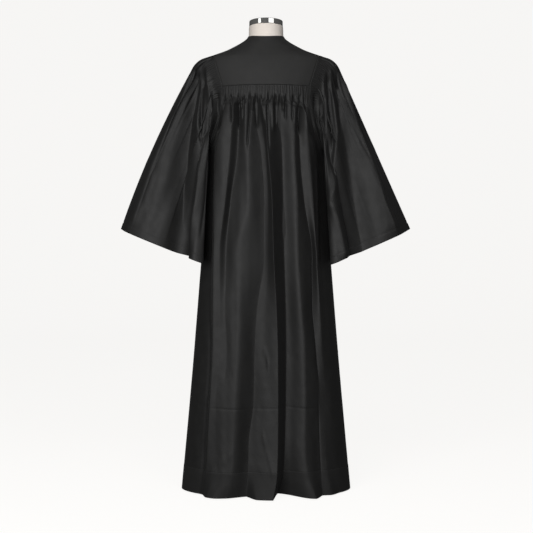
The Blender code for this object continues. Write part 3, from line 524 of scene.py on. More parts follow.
def crease_field(x, z, table):
    """How far a table's creases push each point of the back view out."""
    total = np.zeros_like(x)
    for crease in table:
        points = np.array(crease.points, float)
        steps = np.diff(points, axis=0)
        sizes = np.linalg.norm(steps, axis=1)
        starts = np.concatenate([[0], np.cumsum(sizes)])
        best = np.full(x.shape, 1.0)
        side, along = np.ones_like(x), np.zeros_like(x)
        for i, (step, size) in enumerate(zip(steps, sizes)):
            away_x, away_z = x - points[i, 0], z - points[i, 1]
            t = (away_x * step[0] + away_z * step[1]) / size**2
            first, last = i == 0, i == len(steps) - 1
            held = np.clip(t, -9.0 if first else 0.0, 9.0 if last else 1.0)
            distance = np.hypot(away_x - held * step[0], away_z - held * step[1])
            nearer = distance < best
            cross = away_x * -step[1] + away_z * step[0]
            downward = step[1] < 0 or (step[1] == 0 and step[0] < 0)
            outer = cross if downward else -cross
            best = np.where(nearer, distance, best)
            side = np.where(nearer, np.sign(outer), side)
            along = np.where(nearer, starts[i] + t * size, along)
        fade = min(CREASE_FADE, starts[-1] * 0.25)
        taper = smoothstep(along / fade + 0.5) * smoothstep((starts[-1] - along) / fade + 0.5)
        reach = best / np.where(side > 0, crease.outer, crease.inner)
        shape = (1 - crease.sharp) * np.exp(-(reach**2)) + crease.sharp * np.exp(-1.4 * reach)
        total += crease.out * shape * taper
    return total


def ripple(x, z, seed, scale_x, scale_z, count=14):
    """A soft uneven field between about -1 and 1, the same each run."""
    rng = np.random.default_rng(seed)
    total = np.zeros_like(x)
    for _ in range(count):
        turn = rng.uniform(0, 2 * math.pi)
        a, b = rng.normal(0, 1), rng.normal(0, 1)
        total += np.sin(2 * math.pi * (a * x / scale_x + b * z / scale_z) + turn)
    return total / math.sqrt(count)


def grid_mesh(name, grid, closed=False):
    rows, columns = grid.shape[:2]
    at = np.arange(rows * columns).reshape(rows, columns)
    right = np.roll(at, -1, axis=1) if closed else at[:, 1:]
    left = at if closed else at[:, :-1]
    faces = np.stack([left[:-1], left[1:], right[1:], right[:-1]], -1).reshape(-1, 4)
    mesh = bpy.data.meshes.new(name)
    mesh.from_pydata(grid.reshape(-1, 3).tolist(), [], faces.tolist())
    mesh.shade_smooth()
    mesh.update()
    return mesh


def add_object(name, data):
    obj = bpy.data.objects.new(name, data)
    bpy.context.scene.collection.objects.link(obj)
    return obj


def add_piece(name, mesh, material):
    obj = add_object(name, mesh)
    mesh.materials.append(material)
    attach(obj, "robe_and_form")
    return obj


def cloth_piece(name, grid, node, material, closed=False, thickness=CLOTH):
    """A thin shell of cloth whose outside is the grid of points; it stands for the solid."""
    obj = add_piece(name, grid_mesh(name, grid, closed), material)
    wall = obj.modifiers.new("wall", "SOLIDIFY")
    wall.thickness = thickness
    wall.offset = -1.0
    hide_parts(node)
    return obj


def fold_curve(knots, values, sharp, i, t):
    """Row by row, a curve through the folds that never overshoots; a sharp fold keeps its crease."""
    width = np.diff(knots, axis=1)
    slope = np.diff(values, axis=1) / width
    before, after = slope[:, :-1], slope[:, 1:]
    same = before * after > 0
    soft = np.where(same, 2 * before * after / np.where(same, before + after, 1.0), 0.0)
    soft = np.hstack([slope[:, :1], soft, slope[:, -1:]])
    start = mix(soft[:, i], slope[:, i], sharp[i]) * width[:, i]
    end = mix(soft[:, i + 1], slope[:, i], sharp[i + 1]) * width[:, i]
    first = (1 + 2 * t) * (1 - t) ** 2 * values[:, i] + t * (1 - t) ** 2 * start
    return first + t * t * (3 - 2 * t) * values[:, i + 1] + t * t * (t - 1) * end


def form_surface(x, z):
    """How far back the padded form's own back reaches, or nothing where it doesn't."""
    wide, deep = form_section(np.clip(z, FORM_BOTTOM_Z, NECK_TOP_Z))[:2]
    round_it = np.sqrt(np.clip(1 - (x / wide) ** 2, 0.0, 1.0))
    return np.where((np.abs(x) < wide) & (z > FORM_BOTTOM_Z), deep * round_it, -1.0)


def make_back_panel(armhole, material):
    z = np.concatenate([np.linspace(*row) for row in BACK_ROWS])
    segments = len(BACK_FOLDS) + 1
    each = 24
    u = np.linspace(0, segments, segments * each + 1)
    Z = np.repeat(z[:, None], len(u), axis=1)
    places = np.stack([smooth_between(z, BACK_LEVELS, fold.places) for fold in BACK_FOLDS], -1)
    outs = np.stack([smooth_between(z, BACK_LEVELS, fold.outs) for fold in BACK_FOLDS], -1)
    edge = armhole_angle(z)
    stations = angle_of(places, z[:, None])
    stations = np.clip(stations, edge[:, None] + 0.02, math.pi - edge[:, None] - 0.02)
    stations = np.hstack([edge[:, None], stations, math.pi - edge[:, None]])
    outs = np.hstack([np.zeros((len(z), 1)), outs, np.zeros((len(z), 1))])
    sharp = np.array([0.0, *[fold.sharp for fold in BACK_FOLDS], 0.0])
    i = np.minimum(u.astype(int), segments - 1)
    share = (u - i)[None, :]
    angle = mix(stations[:, i], stations[:, i + 1], share)
    out = fold_curve(stations, outs, sharp, i, share)
    even = mix(edge[:, None], math.pi - edge[:, None], (u / segments)[None, :])
    even_x = half_width(Z) * np.cos(even)
    band = BAND_MIDDLE_Z + BAND_TILT * even_x / YOKE_BOTTOM_HALF
    drawn_in = 1 - smoothstep((band - Z) / BAND_OPENS)
    released = smoothstep((band + RELEASE_ABOVE - Z) / RELEASE)
    rng = np.random.default_rng(11)
    turn = FLUTES * u / segments
    for size, often, begins in FLUTE_DRIFTS:
        turn = turn + size * np.sin(2 * math.pi * u / segments * often + begins)
    # A whole number of flutes fits between the edges.
    turn = np.clip(turn - mix(turn[0], turn[-1] - FLUTES, u / segments), 0, FLUTES)
    k = np.minimum(turn.astype(int), FLUTES - 1)
    strength = rng.uniform(*FLUTE_RANGE, FLUTES)[k] * np.interp(u / segments, FLUTE_FADE_AT, FLUTE_FADE)
    wave = np.cos(2 * math.pi * turn)
    seam_hold = 0.35 + 0.65 * smoothstep((YOKE_SEAM_Z - Z) / 0.004)
    flute = FLUTE_DEPTH * (strength * tucks(wave))[None, :] * drawn_in * seam_hold
    puff_z = band - PUFF_BELOW - PUFF_UNEVEN * rng.uniform(-1, 1, FLUTES)[k][None, :]
    puff = PUFF * (rng.uniform(0.1, 1.0, FLUTES)[k] * (0.5 - 0.5 * wave) ** PUFF_POWER)[None, :]
    puff = puff * bell(Z - puff_z, PUFF_HEIGHT)
    roll = BAND_ROLL * bell(Z - band - BAND_ROLL_BELOW, BAND_ROLL_HEIGHT) * drawn_in
    angle = mix(angle, even, drawn_in)
    x = half_width(Z) * np.cos(angle)
    waver = 0.0007 * ripple(x, Z, 3, 0.110, 0.30) + 0.0003 * ripple(x, Z, 4, 0.045, 0.060)
    still = smoothstep((band - Z) / 0.05) * smoothstep((Z - HEM_Z) / 0.030)
    edge_hold = smoothstep(np.minimum(u, segments - u) / 0.35)[None, :]
    fine = crease_field(x, Z, GATHERS + BACK_CREASES) + waver * still + puff
    grid = robe_point(angle, Z, flute + roll + turned_hem(Z - HEM_DEEP) + fine * edge_hold)
    grid[..., 1] += out * released
    # The cloth lies on the padded form where a fold would reach into it.
    grid[..., 1] = np.maximum(grid[..., 1], form_surface(grid[..., 0], grid[..., 2]) + 2 * CLOTH)
    grid[0, :, 2] -= SEAM_GAP
    high = z >= UNDERARM_Z
    for column, left in ((0, True), (-1, False)):
        grid[high, column] = armhole.edge(z[high], left=left)
        grid[~high, column, 1] += SIDE_SEAM_GAP / 2
    grid[0, (0, -1), 2] = YOKE_SEAM_Z - SEAM_GAP
    obj = cloth_piece("back_cloth", grid, "back_panel", material)
    return grid


def make_yoke(armhole, material):
    count = 46
    top = np.linspace(NECK_SIDE_Z, SHOULDER_Z, count // 2)
    low = mix(SHOULDER_Z, YOKE_SEAM_Z, (1 - np.cos(np.pi * np.linspace(0, 1, count))) / 2)[1:]
    edge_z = np.concatenate([top, low])
    columns = 90
    across = np.sin(math.pi * (0.5 - np.arange(columns + 1) / columns))[None, :]
    # The row's share of the way down follows the seam's length, so that the rows stay even.
    middles = (YOKE_SEAM_Z, YOKE_TOP_MIDDLE_Z, NECK_BACK_Z)
    middle_z = np.interp(edge_z, (YOKE_SEAM_Z, SHOULDER_Z, NECK_SIDE_Z), middles)[:, None]
    edge_x = np.where(edge_z >= SHOULDER_Z, half_width(edge_z), armhole_x(edge_z, False))[:, None]
    height = mix(middle_z, edge_z[:, None], across**2)
    x = across * edge_x
    fine = 0.0006 * ripple(x, height, 21, 0.09, 0.08) * (1 - across**2)
    dip = YOKE_SEAM_DIP * bell(height - YOKE_SEAM_Z, SEAM_WIDTH)
    from_armhole = armhole_x(np.clip(height, UNDERARM_Z, SHOULDER_Z), False) - np.abs(x)
    dip += ARMHOLE_SEAM_DIP * bell(from_armhole, ARMHOLE_SEAM_WIDTH) * (height < SHOULDER_Z)
    grid = robe_point(angle_of(x, height), height, fine - dip)
    upper = edge_z >= SHOULDER_Z - 1e-9
    for column in (0, -1):
        grid[upper, column, 1] += SIDE_SEAM_GAP / 2
    lower = edge_z <= SHOULDER_Z
    for column, left in ((0, True), (-1, False)):
        grid[lower, column] = armhole.edge(edge_z[lower], left=left)
    row = int(np.argmin(np.abs(edge_z - SHOULDER_Z)))
    grid[row, (0, -1), 1] += SIDE_SEAM_GAP / 2
    obj = cloth_piece("yoke_cloth", grid, "yoke_back", material)
    return grid


def front_middle_z(edge_z):
    share = (edge_z - UNDERARM_Z) / (NECK_SIDE_Z - UNDERARM_Z)
    return np.where(share <= 0, edge_z, mix(UNDERARM_Z, NECK_FRONT_Z, share))


def make_front(folds, armhole, left, material):
    side = 1.0 if left else -1.0
    count = 60
    arm = mix(SHOULDER_Z, UNDERARM_Z, (1 - np.cos(np.pi * np.linspace(0, 1, count))) / 2)
    low = np.concatenate([
        np.linspace(UNDERARM_Z - 0.010, 0.090, 66),
        np.linspace(0.081, 0.073, 6), np.linspace(0.066, HEM_Z + 0.004, 5), [HEM_Z],
    ])
    edge_z = np.concatenate([np.linspace(NECK_SIDE_Z, SHOULDER_Z, 16)[:-1], arm, low])
    segments = len(folds) + 1
    each = 18
    u = np.linspace(0, segments, segments * each + 1)
    share = (u / segments)[None, :]
    z = mix(edge_z[:, None], front_middle_z(edge_z)[:, None], share)
    backward = folds[::-1]
    places = np.stack([smooth_between(z, FRONT_LEVELS, fold.places) for fold in backward], -1)
    outs = np.stack([smooth_between(z, FRONT_LEVELS, fold.outs) for fold in backward], -1)
    hanging = smoothstep((FOLDS_START_Z - z) / FOLDS_GROW)
    edge = np.broadcast_to(armhole_angle(edge_z, True)[:, None], z.shape)
    stations = np.maximum(angle_of(places, z[..., None]), edge[..., None])
    zip_angle = angle_of(np.full_like(z, ZIP_HALF_GAP), z)
    stations = np.concatenate([edge[..., None], stations, zip_angle[..., None]], -1)
    outs = np.concatenate([np.zeros_like(z)[..., None], outs, np.zeros_like(z)[..., None]], -1)
    i = np.broadcast_to(np.minimum(u.astype(int), segments - 1)[None, :], z.shape)
    part = u[None, :] - i

    def at(table, index):
        return np.take_along_axis(table, index[..., None], -1)[..., 0]

    wave = 0.5 - 0.5 * np.cos(math.pi * part)
    angle = mix(at(stations, i), at(stations, i + 1), part)
    out = mix(at(outs, i), at(outs, i + 1), wave)
    on_arm = ((edge_z > UNDERARM_Z) & (edge_z < SHOULDER_Z))[:, None]
    arm_x = armhole_x(np.clip(edge_z, UNDERARM_Z, SHOULDER_Z), True)[:, None]
    edge_x = np.where(on_arm, arm_x, half_width(edge_z)[:, None])
    even = angle_of(mix(edge_x, ZIP_HALF_GAP, share), z)
    angle = mix(even, angle, hanging)
    x = half_width(z) * np.cos(angle)
    edge_hold = smoothstep(np.minimum(u, segments - u) / 0.4)[None, :]
    seed = 31 if left else 32
    fine = 0.0014 * ripple(x, z, seed, 0.07, 0.26) + 0.0006 * ripple(x, z, seed + 2, 0.035, 0.06)
    # The front hangs from the chest, with slack drags from the armhole.
    drags = creases(
        (((150, 1110), (115, 1020), (100, 900)), 12, 12, 4, 0.1),
        (((152, 1180), (105, 1110), (78, 1000)), 10, 12, 3 if left else 4, 0.1),
        (((146, 1150), (128, 1060), (128, 950)), 8, 8, -3, 0.1),
        (((148, 1320), (110, 1285), (70, 1270)), 10, 10, 1.5 if left else 2, 0),
    )
    placket = -PLACKET_GROOVE * bell(x - PLACKET_X, PLACKET_WIDTH) * (z > ZIP_BOTTOM_Z - 0.02)
    still = smoothstep((NECK_SIDE_Z - z) / 0.15) * smoothstep((z - HEM_Z) / 0.03)
    fine = fine * still + crease_field(x, z, drags) + placket
    grid = robe_point(-angle, z, out * hanging + turned_hem(z - HEM_DEEP) + fine * edge_hold)
    grid[..., 0] *= side
    upper = edge_z >= SHOULDER_Z - 1e-9
    grid[upper, 0, 1] -= SIDE_SEAM_GAP / 2
    on_hole = (edge_z >= UNDERARM_Z) & (edge_z <= SHOULDER_Z)
    grid[on_hole, 0] = armhole.edge(edge_z[on_hole], front=True, left=left)
    at_shoulder = int(np.argmin(np.abs(edge_z - SHOULDER_Z)))
    grid[at_shoulder, 0, 1] -= SIDE_SEAM_GAP / 2
    grid[edge_z <= UNDERARM_Z, 0, 1] -= SIDE_SEAM_GAP / 2
    if left:
        grid = grid[:, ::-1]
    name = "front_cloth_left" if left else "front_cloth_right"
    obj = cloth_piece(name, np.ascontiguousarray(grid), "front_left" if left else "front_right", material)
    return grid


def smooth_loop(way, shares):
    at = np.arange(len(way))
    fine = np.linspace(0, len(way) - 1, 400)
    xs, ys = (smooth_between(fine, at, sizes) for sizes in zip(*way))
    length = np.concatenate([[0], np.cumsum(np.hypot(np.diff(xs), np.diff(ys)))])
    wanted = np.asarray(shares) * length[-1]
    return np.stack([np.interp(wanted, length, xs), np.interp(wanted, length, ys)], -1)


def loop_normals(grid):
    around = np.roll(grid, -1, axis=1) - np.roll(grid, 1, axis=1)
    along = np.gradient(grid, axis=0)
    return unit(np.cross(along, around))


def make_sleeve(name, node, sleeve, armhole, material, mirrored, seed):
    columns = 372
    dense = np.interp(np.linspace(0, 1, columns, endpoint=False), COLUMNS_EVEN, COLUMNS_AT)
    start, outward, normal, at, half_length, total = armhole.spread(dense)
    on_back = at <= half_length
    half = np.where(on_back, at / half_length, (total - at) / (total - half_length))
    back_cuff, front_cuff = (smooth_loop(way, half) for way in (sleeve.cuff_back, sleeve.cuff_front))
    cuff = np.where(on_back[:, None], back_cuff, front_cuff)
    low = smoothstep((TURNS_UNDER_Z - start[:, 2]) / (TURNS_UNDER_Z - UNDERARM_Z))
    reach = mix(sleeve.cap_reach, BACK_REACH, smoothstep(half / REACH_FALLS_BY))
    reach = mix(reach, UNDERARM_REACH, low)
    way = unit(mix(outward, normal, low[:, None]))
    drop = (sleeve.cuff_back[0].x - cuff[:, 0]) * sleeve.cuff_slope + cuff[:, 1] * CUFF_RISE
    end = np.column_stack([cuff, sleeve.cuff_z - drop])
    start = start + outward * ARMHOLE_GAP / 2
    bulge = sleeve.bulge * (1 - smoothstep(half / BULGE_ENDS_BY))
    turn_at = start + way * reach[:, None]
    radius = (TURN_SHARE * reach)[:, None]
    down = unit(end - turn_at)
    # A row's level is 0 at the seam, 2 where the cloth begins to turn down, and from 5 on it falls.
    rows, level = [], []
    for share in np.linspace(0, 1, NEAR_ROWS, endpoint=False):
        rows.append(start + way * (reach[:, None] - radius) * share)
        level.append(share * TURN_LEVEL)
    for t in np.linspace(-1, 1, TURN_ROWS):
        rows.append(turn_at - way * (1 - t) ** 2 * radius / 4 + down * (1 + t) ** 2 * radius / 4)
        level.append(TURN_LEVEL + (t + 1) / 0.7)
    falls = np.concatenate([np.linspace(0, 0.90, 78)[1:], np.linspace(0.91, 1.0, 16)])
    for share in falls:
        belly = np.stack([bulge * 4 * share * (1 - share), 0 * bulge, 0 * bulge], -1)
        rows.append(mix(turn_at + down * radius, end, share) + belly)
        level.append(FALL_LEVEL + share)
    grid = np.array(rows)
    level = np.array(level)[:, None]
    fall = np.concatenate([np.zeros(NEAR_ROWS + TURN_ROWS), falls])[:, None]
    normals = loop_normals(grid)
    cap = 1 - smoothstep((level - TURN_LEVEL) / (FALL_LEVEL - TURN_LEVEL))
    x, y, z = (grid[..., k] for k in range(3))
    gathered = smoothstep((z - UNDERARM_Z - SLEEVE_GATHERS_ABOVE) / SLEEVE_GATHERS_GROW)
    flutes = round(total / SLEEVE_FLUTE)
    turn = at / total * flutes
    wave = np.cos(2 * math.pi * turn)
    rng = np.random.default_rng(seed)
    k = np.minimum(turn.astype(int), flutes - 1)
    strength = rng.uniform(*SLEEVE_FLUTE_RANGE, flutes)[k] * np.interp(half, SLEEVE_FADE_AT, SLEEVE_FADE)
    held = smoothstep(level / 0.4)
    out = SLEEVE_FLUTE_DEPTH * (strength * tucks(wave))[None, :] * cap * gathered * held
    puff = SLEEVE_PUFF * rng.uniform(0, 1, flutes)[k] * (0.5 - 0.5 * wave) ** PUFF_POWER * strength
    out += puff[None, :] * bell(level - SLEEVE_PUFF_LEVEL, SLEEVE_PUFF_REACH) * gathered
    turned = smoothstep(np.abs(normals[..., 1]) / BACK_FACING) * (1 - cap)
    behind = turned * (normals[..., 1] > 0)
    before = turned * (normals[..., 1] < 0)
    out += crease_field(x, z, sleeve.creases) * behind
    # Below the band the sleeve turns sharply in along the armhole, which leaves a deep dark gap.
    out += crease_field(x, z, sleeve.gaps) * (normals[..., 1] > 0) * smoothstep(level / 0.6)
    front_creases = creases(
        (((196, 1290), (206, 1190), (214, 1080)), 8, 9, 6, 0.1),
        (((188, 1240), (190, 1160), (194, 1070)), 5, 5, -6, 0.3),
        (((222, 1250), (240, 1120), (262, 930), (268, 800)), 18, 20, -9, 0.1),
        (((200, 1060), (214, 950), (232, 820), (240, 740)), 10, 10, 7, 0.4),
        (((262, 1180), (300, 1030), (340, 860)), 18, 22, 4, 0),
    )
    out += crease_field(x, z, front_creases) * before
    waver = 0.0006 * ripple(x + y, z, seed + 50, 0.14, 0.30)
    waver += 0.0003 * ripple(x - y, z, seed + 51, 0.06, 0.09)
    out += waver * turned * smoothstep((1 - fall) / 0.10)
    length = np.linalg.norm(end - turn_at, axis=-1)[None, :]
    up = (1 - fall) * length
    out += np.where(fall > 0.5, turned_hem(up - CUFF_HEM, 0.0008, 0.0020), 0.0)
    out[0] = 0.0
    grid = grid + normals * out[..., None]
    behind_form = form_surface(grid[..., 0], grid[..., 2]) + 2 * CLOTH
    clear = np.maximum(grid[..., 1], behind_form)
    grid[..., 1] = np.where((grid[..., 1] > 0) & (level > 0), clear, grid[..., 1])
    if mirrored:
        grid = grid[:, ::-1] * np.array([-1.0, 1.0, 1.0])
    obj = cloth_piece(name, np.ascontiguousarray(grid), node, material, closed=True)
    return grid


def form_section(z):
    clear = CLOTH + FORM_GAP
    upper = [size - clear for size in section_at(z + clear, ROBE)]
    heights = [row.z for row in FORM] + [FORM_MEETS_ROBE_Z]
    meeting = [size - clear for size in section_at(FORM_MEETS_ROBE_Z + clear, ROBE)]
    lower = [smooth_between(z, heights, [row[i + 1] for row in FORM] + [float(meeting[i])]) for i in range(3)]
    return [np.where(z >= FORM_MEETS_ROBE_Z, up, down) for up, down in zip(upper, lower)]


def make_form(material):
    """The form's padded torso, with its neck seam, eight long seams and a soft edge below."""
    rows = 130
    z = mix(NECK_TOP_Z, FORM_BOTTOM_Z, np.linspace(0, 1, rows) ** 1.35)
    z = np.unique(np.concatenate([z, np.linspace(1.4000, 1.4100, 9)]))[::-1]
    columns = 96
    angle = np.linspace(0, 2 * math.pi, columns, endpoint=False)[None, :]
    wide, back, front = (s[:, None] for s in form_section(z))
    deep = np.where(np.sin(angle) >= 0, back, front)
    Z = np.repeat(z[:, None], columns, 1)
    seam = np.zeros_like(Z)
    for place in FORM_SEAMS:
        seam += bell(np.angle(np.exp(1j * (angle - place))), FORM_SEAM_WIDTH)
    # The seams run down from the neck seam; the neck itself is plain.
    draw = -0.0009 * seam * smoothstep((1.398 - Z) / 0.02)
    # The neck seam's welt with the groove over it, then the soft edges below and on top.
    draw += 0.0007 * bell(Z - 1.4045, 0.0013) - 0.0004 * bell(Z - 1.4072, 0.0010)
    draw -= 0.0020 * smoothstep((FORM_BOTTOM_Z + 0.004 - Z) / 0.004)
    draw -= 0.0012 * smoothstep((Z - NECK_TOP_Z + 0.0015) / 0.0015)
    grid = np.stack([(wide + draw) * np.cos(angle), (deep + draw) * np.sin(angle), Z], -1)
    mesh = grid_mesh("form_cover", grid, closed=True)
    shape = bmesh.new()
    shape.from_mesh(mesh)
    bmesh.ops.holes_fill(shape, edges=shape.edges)
    bmesh.ops.recalc_face_normals(shape, faces=shape.faces)
    for face in shape.faces:
        face.smooth = len(face.verts) <= 4
    shape.to_mesh(mesh)
    shape.free()
    obj = add_piece("form_cover", mesh, material)
    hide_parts("form_torso")
    return obj


def stitches(name, path, normals, material):
    """A row of sewn thread along a path: each stitch a short rod that dips in at both ends."""
    seg = np.linalg.norm(np.diff(path, axis=0), axis=1)
    run = np.concatenate([[0], np.cumsum(seg)])
    verts, faces = [], []
    sides, rings = STITCH_SIDES, len(STITCH_SHARES)
    for i in range(int(run[-1] / STITCH)):
        s = (i + 0.5) * STITCH + STITCH_SHARES * STITCH * STITCH_LENGTH
        p = np.stack([np.interp(s, run, path[:, k]) for k in range(3)], -1)
        n = unit(np.stack([np.interp(s, run, normals[:, k]) for k in range(3)], -1))
        b = unit(np.cross(unit(np.gradient(p, axis=0)), n))
        base = len(verts)
        for q in range(rings):
            for k in range(sides):
                a = 2 * math.pi * (k + 0.5) / sides
                lift = STITCH_LIFTS[q] + STITCH_HALF_THICK * math.cos(a)
                verts.append(p[q] + n[q] * lift + b[q] * STITCH_HALF_THICK * math.sin(a))
        for q in range(rings - 1):
            low, high = base + q * sides, base + (q + 1) * sides
            for k in range(sides):
                m = (k + 1) % sides
                faces.append((low + k, low + m, high + m, high + k))
        faces.append(tuple(base + k for k in reversed(range(sides))))
        faces.append(tuple(base + (rings - 1) * sides + k for k in range(sides)))
    mesh = bpy.data.meshes.new(name)
    mesh.from_pydata([tuple(v) for v in verts], [], faces)
    mesh.shade_smooth()
    obj = add_piece(name, mesh, material)
    return obj


def level_line(grid, z, closed=False):
    """Where a grid's columns pass a height near their lower end, with the way out there."""
    around = np.gradient(grid, axis=1)
    if closed:
        around = np.roll(grid, -1, axis=1) - np.roll(grid, 1, axis=1)
    along = np.gradient(grid, axis=0)
    normal = unit(np.cross(along, around))
    points, ways = [], []
    for j in range(grid.shape[1]):
        column = grid[::-1, j]
        wanted = z if np.isscalar(z) else z[j]
        i = int(np.searchsorted(column[:, 2], wanted))
        i = min(max(i, 1), len(column) - 1)
        t = (wanted - column[i - 1, 2]) / (column[i, 2] - column[i - 1, 2])
        points.append(mix(column[i - 1], column[i], t))
        ways.append(normal[::-1][i, j])
    return np.array(points), np.array(ways)


def fill(node, values):
    for key, value in values.items():
        node.inputs[key.replace("_", " ")].default_value = value


class Nodes:
    """A small hand for building a material's node tree."""

    def __init__(self, name):
        self.material = bpy.data.materials.new(name)
        self.material.use_nodes = True
        self.tree = self.material.node_tree
        self.shader = self.tree.nodes["Principled BSDF"]

    def add(self, kind, **values):
        node = self.tree.nodes.new(kind)
        fill(node, values)
        return node

    def link(self, out, socket):
        self.tree.links.new(out, socket)

    def feed(self, **outs):
        for key, out in outs.items():
            self.link(out, self.shader.inputs[key.replace("_", " ")])

    def math(self, operation, a, b):
        node = self.add("ShaderNodeMath")
        node.operation = operation
        for socket, value in zip(node.inputs, (a, b)):
            if isinstance(value, float):
                socket.default_value = value
            else:
                self.link(value, socket)
        return node.outputs[0]

    def noise(self, vector, scale, detail, roughness, distortion=0.0):
        amounts = {"Scale": scale, "Detail": detail, "Roughness": roughness, "Distortion": distortion}
        node = self.add("ShaderNodeTexNoise", **amounts)
        self.link(vector, node.inputs["Vector"])
        return node.outputs["Fac"]

    def stretched(self, scale):
        place = self.add("ShaderNodeTexCoord").outputs["Object"]
        mapping = self.add("ShaderNodeMapping", Scale=scale)
        self.link(place, mapping.inputs["Vector"])
        return mapping.outputs["Vector"]

    def wave(self, vector, scale, direction, distortion=0.0):
        node = self.add("ShaderNodeTexWave", Scale=scale, Distortion=distortion)
        node.wave_type = "BANDS"
        node.bands_direction = direction
        self.link(vector, node.inputs["Vector"])
        return node.outputs["Fac"]

    def span(self, value, low, high, to_low, to_high):
        node = self.add("ShaderNodeMapRange", From_Min=low, From_Max=high, To_Min=to_low, To_Max=to_high)
        self.link(value, node.inputs["Value"])
        return node.outputs["Result"]

    def ramp(self, value, low, high, low_colour, high_colour):
        node = self.add("ShaderNodeValToRGB")
        for stop, place, colour in zip(node.color_ramp.elements, (low, high), (low_colour, high_colour)):
            stop.position, stop.color = place, (*colour, 1)
        self.link(value, node.inputs["Fac"])
        return node.outputs["Color"]

    def bump(self, height, strength, distance, after=None):
        node = self.add("ShaderNodeBump", Strength=strength, Distance=distance)
        self.link(height, node.inputs["Height"])
        if after is not None:
            self.link(after, node.inputs["Normal"])
        return node.outputs["Normal"]

    def set(self, **values):
        fill(self.shader, values)


def cloth_material(name, tone=1.0, rough=0.57, shine=0.40):
    """Black matte polyester: a fine plain weave, a low sheen and faint uneven tone and crumple."""
    n = Nodes(name)
    plain = n.stretched((1, 1, 1))
    long = n.stretched((1.0, 1.0, 0.60))
    patches = n.noise(long, 9.0, 4.0, 0.6)
    cloud = n.noise(plain, 45.0, 3.0, 0.5)
    mixed = n.math("ADD", n.math("MULTIPLY", patches, 0.65), n.math("MULTIPLY", cloud, 0.35))
    # tone scales the base colour. Above 1 it gives a lit copy of the same black cloth, which is painted
    # light.
    low = tuple(c * tone for c in (0.0087, 0.0086, 0.0084))
    high = tuple(c * tone for c in (0.0127, 0.0125, 0.0122))
    n.feed(Base_Color=n.ramp(mixed, 0.30, 0.70, low, high))
    height = n.add("ShaderNodeSeparateXYZ")
    n.link(plain, height.inputs["Vector"])
    doubled = n.span(height.outputs["Z"], HEM_DEEP + 0.002, HEM_DEEP - 0.002, 0.0, 0.13)
    n.feed(Roughness=n.math("ADD", n.span(cloud, 0.3, 0.7, rough, rough + 0.06), doubled))
    warp = n.wave(plain, 620.0, "X")
    weft = n.wave(plain, 620.0, "Z")
    weave = n.math("MULTIPLY", warp, weft)
    crumple = n.noise(plain, 34.0, 4.0, 0.55, 0.3)
    soft = n.bump(crumple, 0.16, 0.0024)
    n.feed(Normal=n.bump(weave, 0.18, 0.0002, soft))
    n.set(Sheen_Weight=0.02, Sheen_Roughness=0.45, Specular_IOR_Level=shine)
    return n.material


def thread_material():
    n = Nodes("sewing_thread")
    twist = n.wave(n.stretched((1, 1, 1)), 900.0, "DIAGONAL")
    tone = n.ramp(twist, 0.2, 0.8, (0.016, 0.016, 0.017), (0.030, 0.030, 0.031))
    n.feed(Base_Color=tone)
    n.feed(Roughness=n.span(twist, 0.0, 1.0, 0.42, 0.60))
    n.feed(Normal=n.bump(twist, 0.4, 0.0001))
    return n.material


def tape_material():
    n = Nodes("zip_tape_knit")
    plain = n.stretched((1, 1, 1))
    rib = n.wave(plain, 260.0, "X", 0.4)
    course = n.wave(plain, 420.0, "Z", 0.4)
    knit = n.math("MULTIPLY", rib, course)
    tone = n.ramp(knit, 0.1, 0.9, (0.010, 0.010, 0.011), (0.022, 0.022, 0.023))
    n.feed(Base_Color=tone)
    n.feed(Roughness=n.span(knit, 0.0, 1.0, 0.75, 0.9))
    n.feed(Normal=n.bump(knit, 0.5, 0.0003))
    return n.material


def metal_material(name, low, high, rough, brushed=False, metallic=1.0):
    n = Nodes(name)
    plain = n.stretched((1, 1, 1) if not brushed else (1, 1, 30))
    worn = n.noise(plain, 160.0 if not brushed else 60.0, 4.0, 0.6)
    n.feed(Base_Color=n.ramp(worn, 0.3, 0.72, low, high))
    n.feed(Roughness=n.span(worn, 0.3, 0.7, *rough))
    n.feed(Normal=n.bump(worn, 0.06, 0.0002))
    n.set(Metallic=metallic)
    return n.material


def linen_material():
    """Cream linen: a slubby plain weave."""
    n = Nodes("form_linen_weave")
    plain = n.stretched((1, 1, 1))
    warp = n.wave(plain, 330.0, "X", 1.5)
    weft = n.wave(plain, 330.0, "Z", 1.5)
    weave = n.math("MULTIPLY", warp, weft)
    slub = n.noise(n.stretched((1, 1, 8)), 60.0, 4.0, 0.6)
    cloud = n.noise(plain, 22.0, 3.0, 0.5)
    tone = n.math("ADD", n.math("MULTIPLY", slub, 0.5), n.math("MULTIPLY", cloud, 0.5))
    n.feed(Base_Color=n.ramp(tone, 0.32, 0.70, (0.90, 0.81, 0.73), (0.97, 0.90, 0.83)))
    n.feed(Roughness=n.span(slub, 0.3, 0.7, 0.80, 0.95))
    rough = n.bump(slub, 0.15, 0.0006)
    n.feed(Normal=n.bump(weave, 0.25, 0.0003, rough))
    n.set(Sheen_Weight=0.15, Sheen_Roughness=0.5)
    return n.material


def stage_material():
    n = Nodes("studio_paper")
    grain = n.noise(n.stretched((1, 1, 1)), 3.0, 2.0, 0.5)
    n.feed(Base_Color=n.ramp(grain, 0.2, 0.8, (0.20, 0.199, 0.197), (0.21, 0.209, 0.207)))
    n.set(Roughness=0.95, Specular_IOR_Level=0.1)
    n.set(Emission_Color=PAPER_GLOW, Emission_Strength=PAPER_GLOW_STRENGTH)
    return n.material


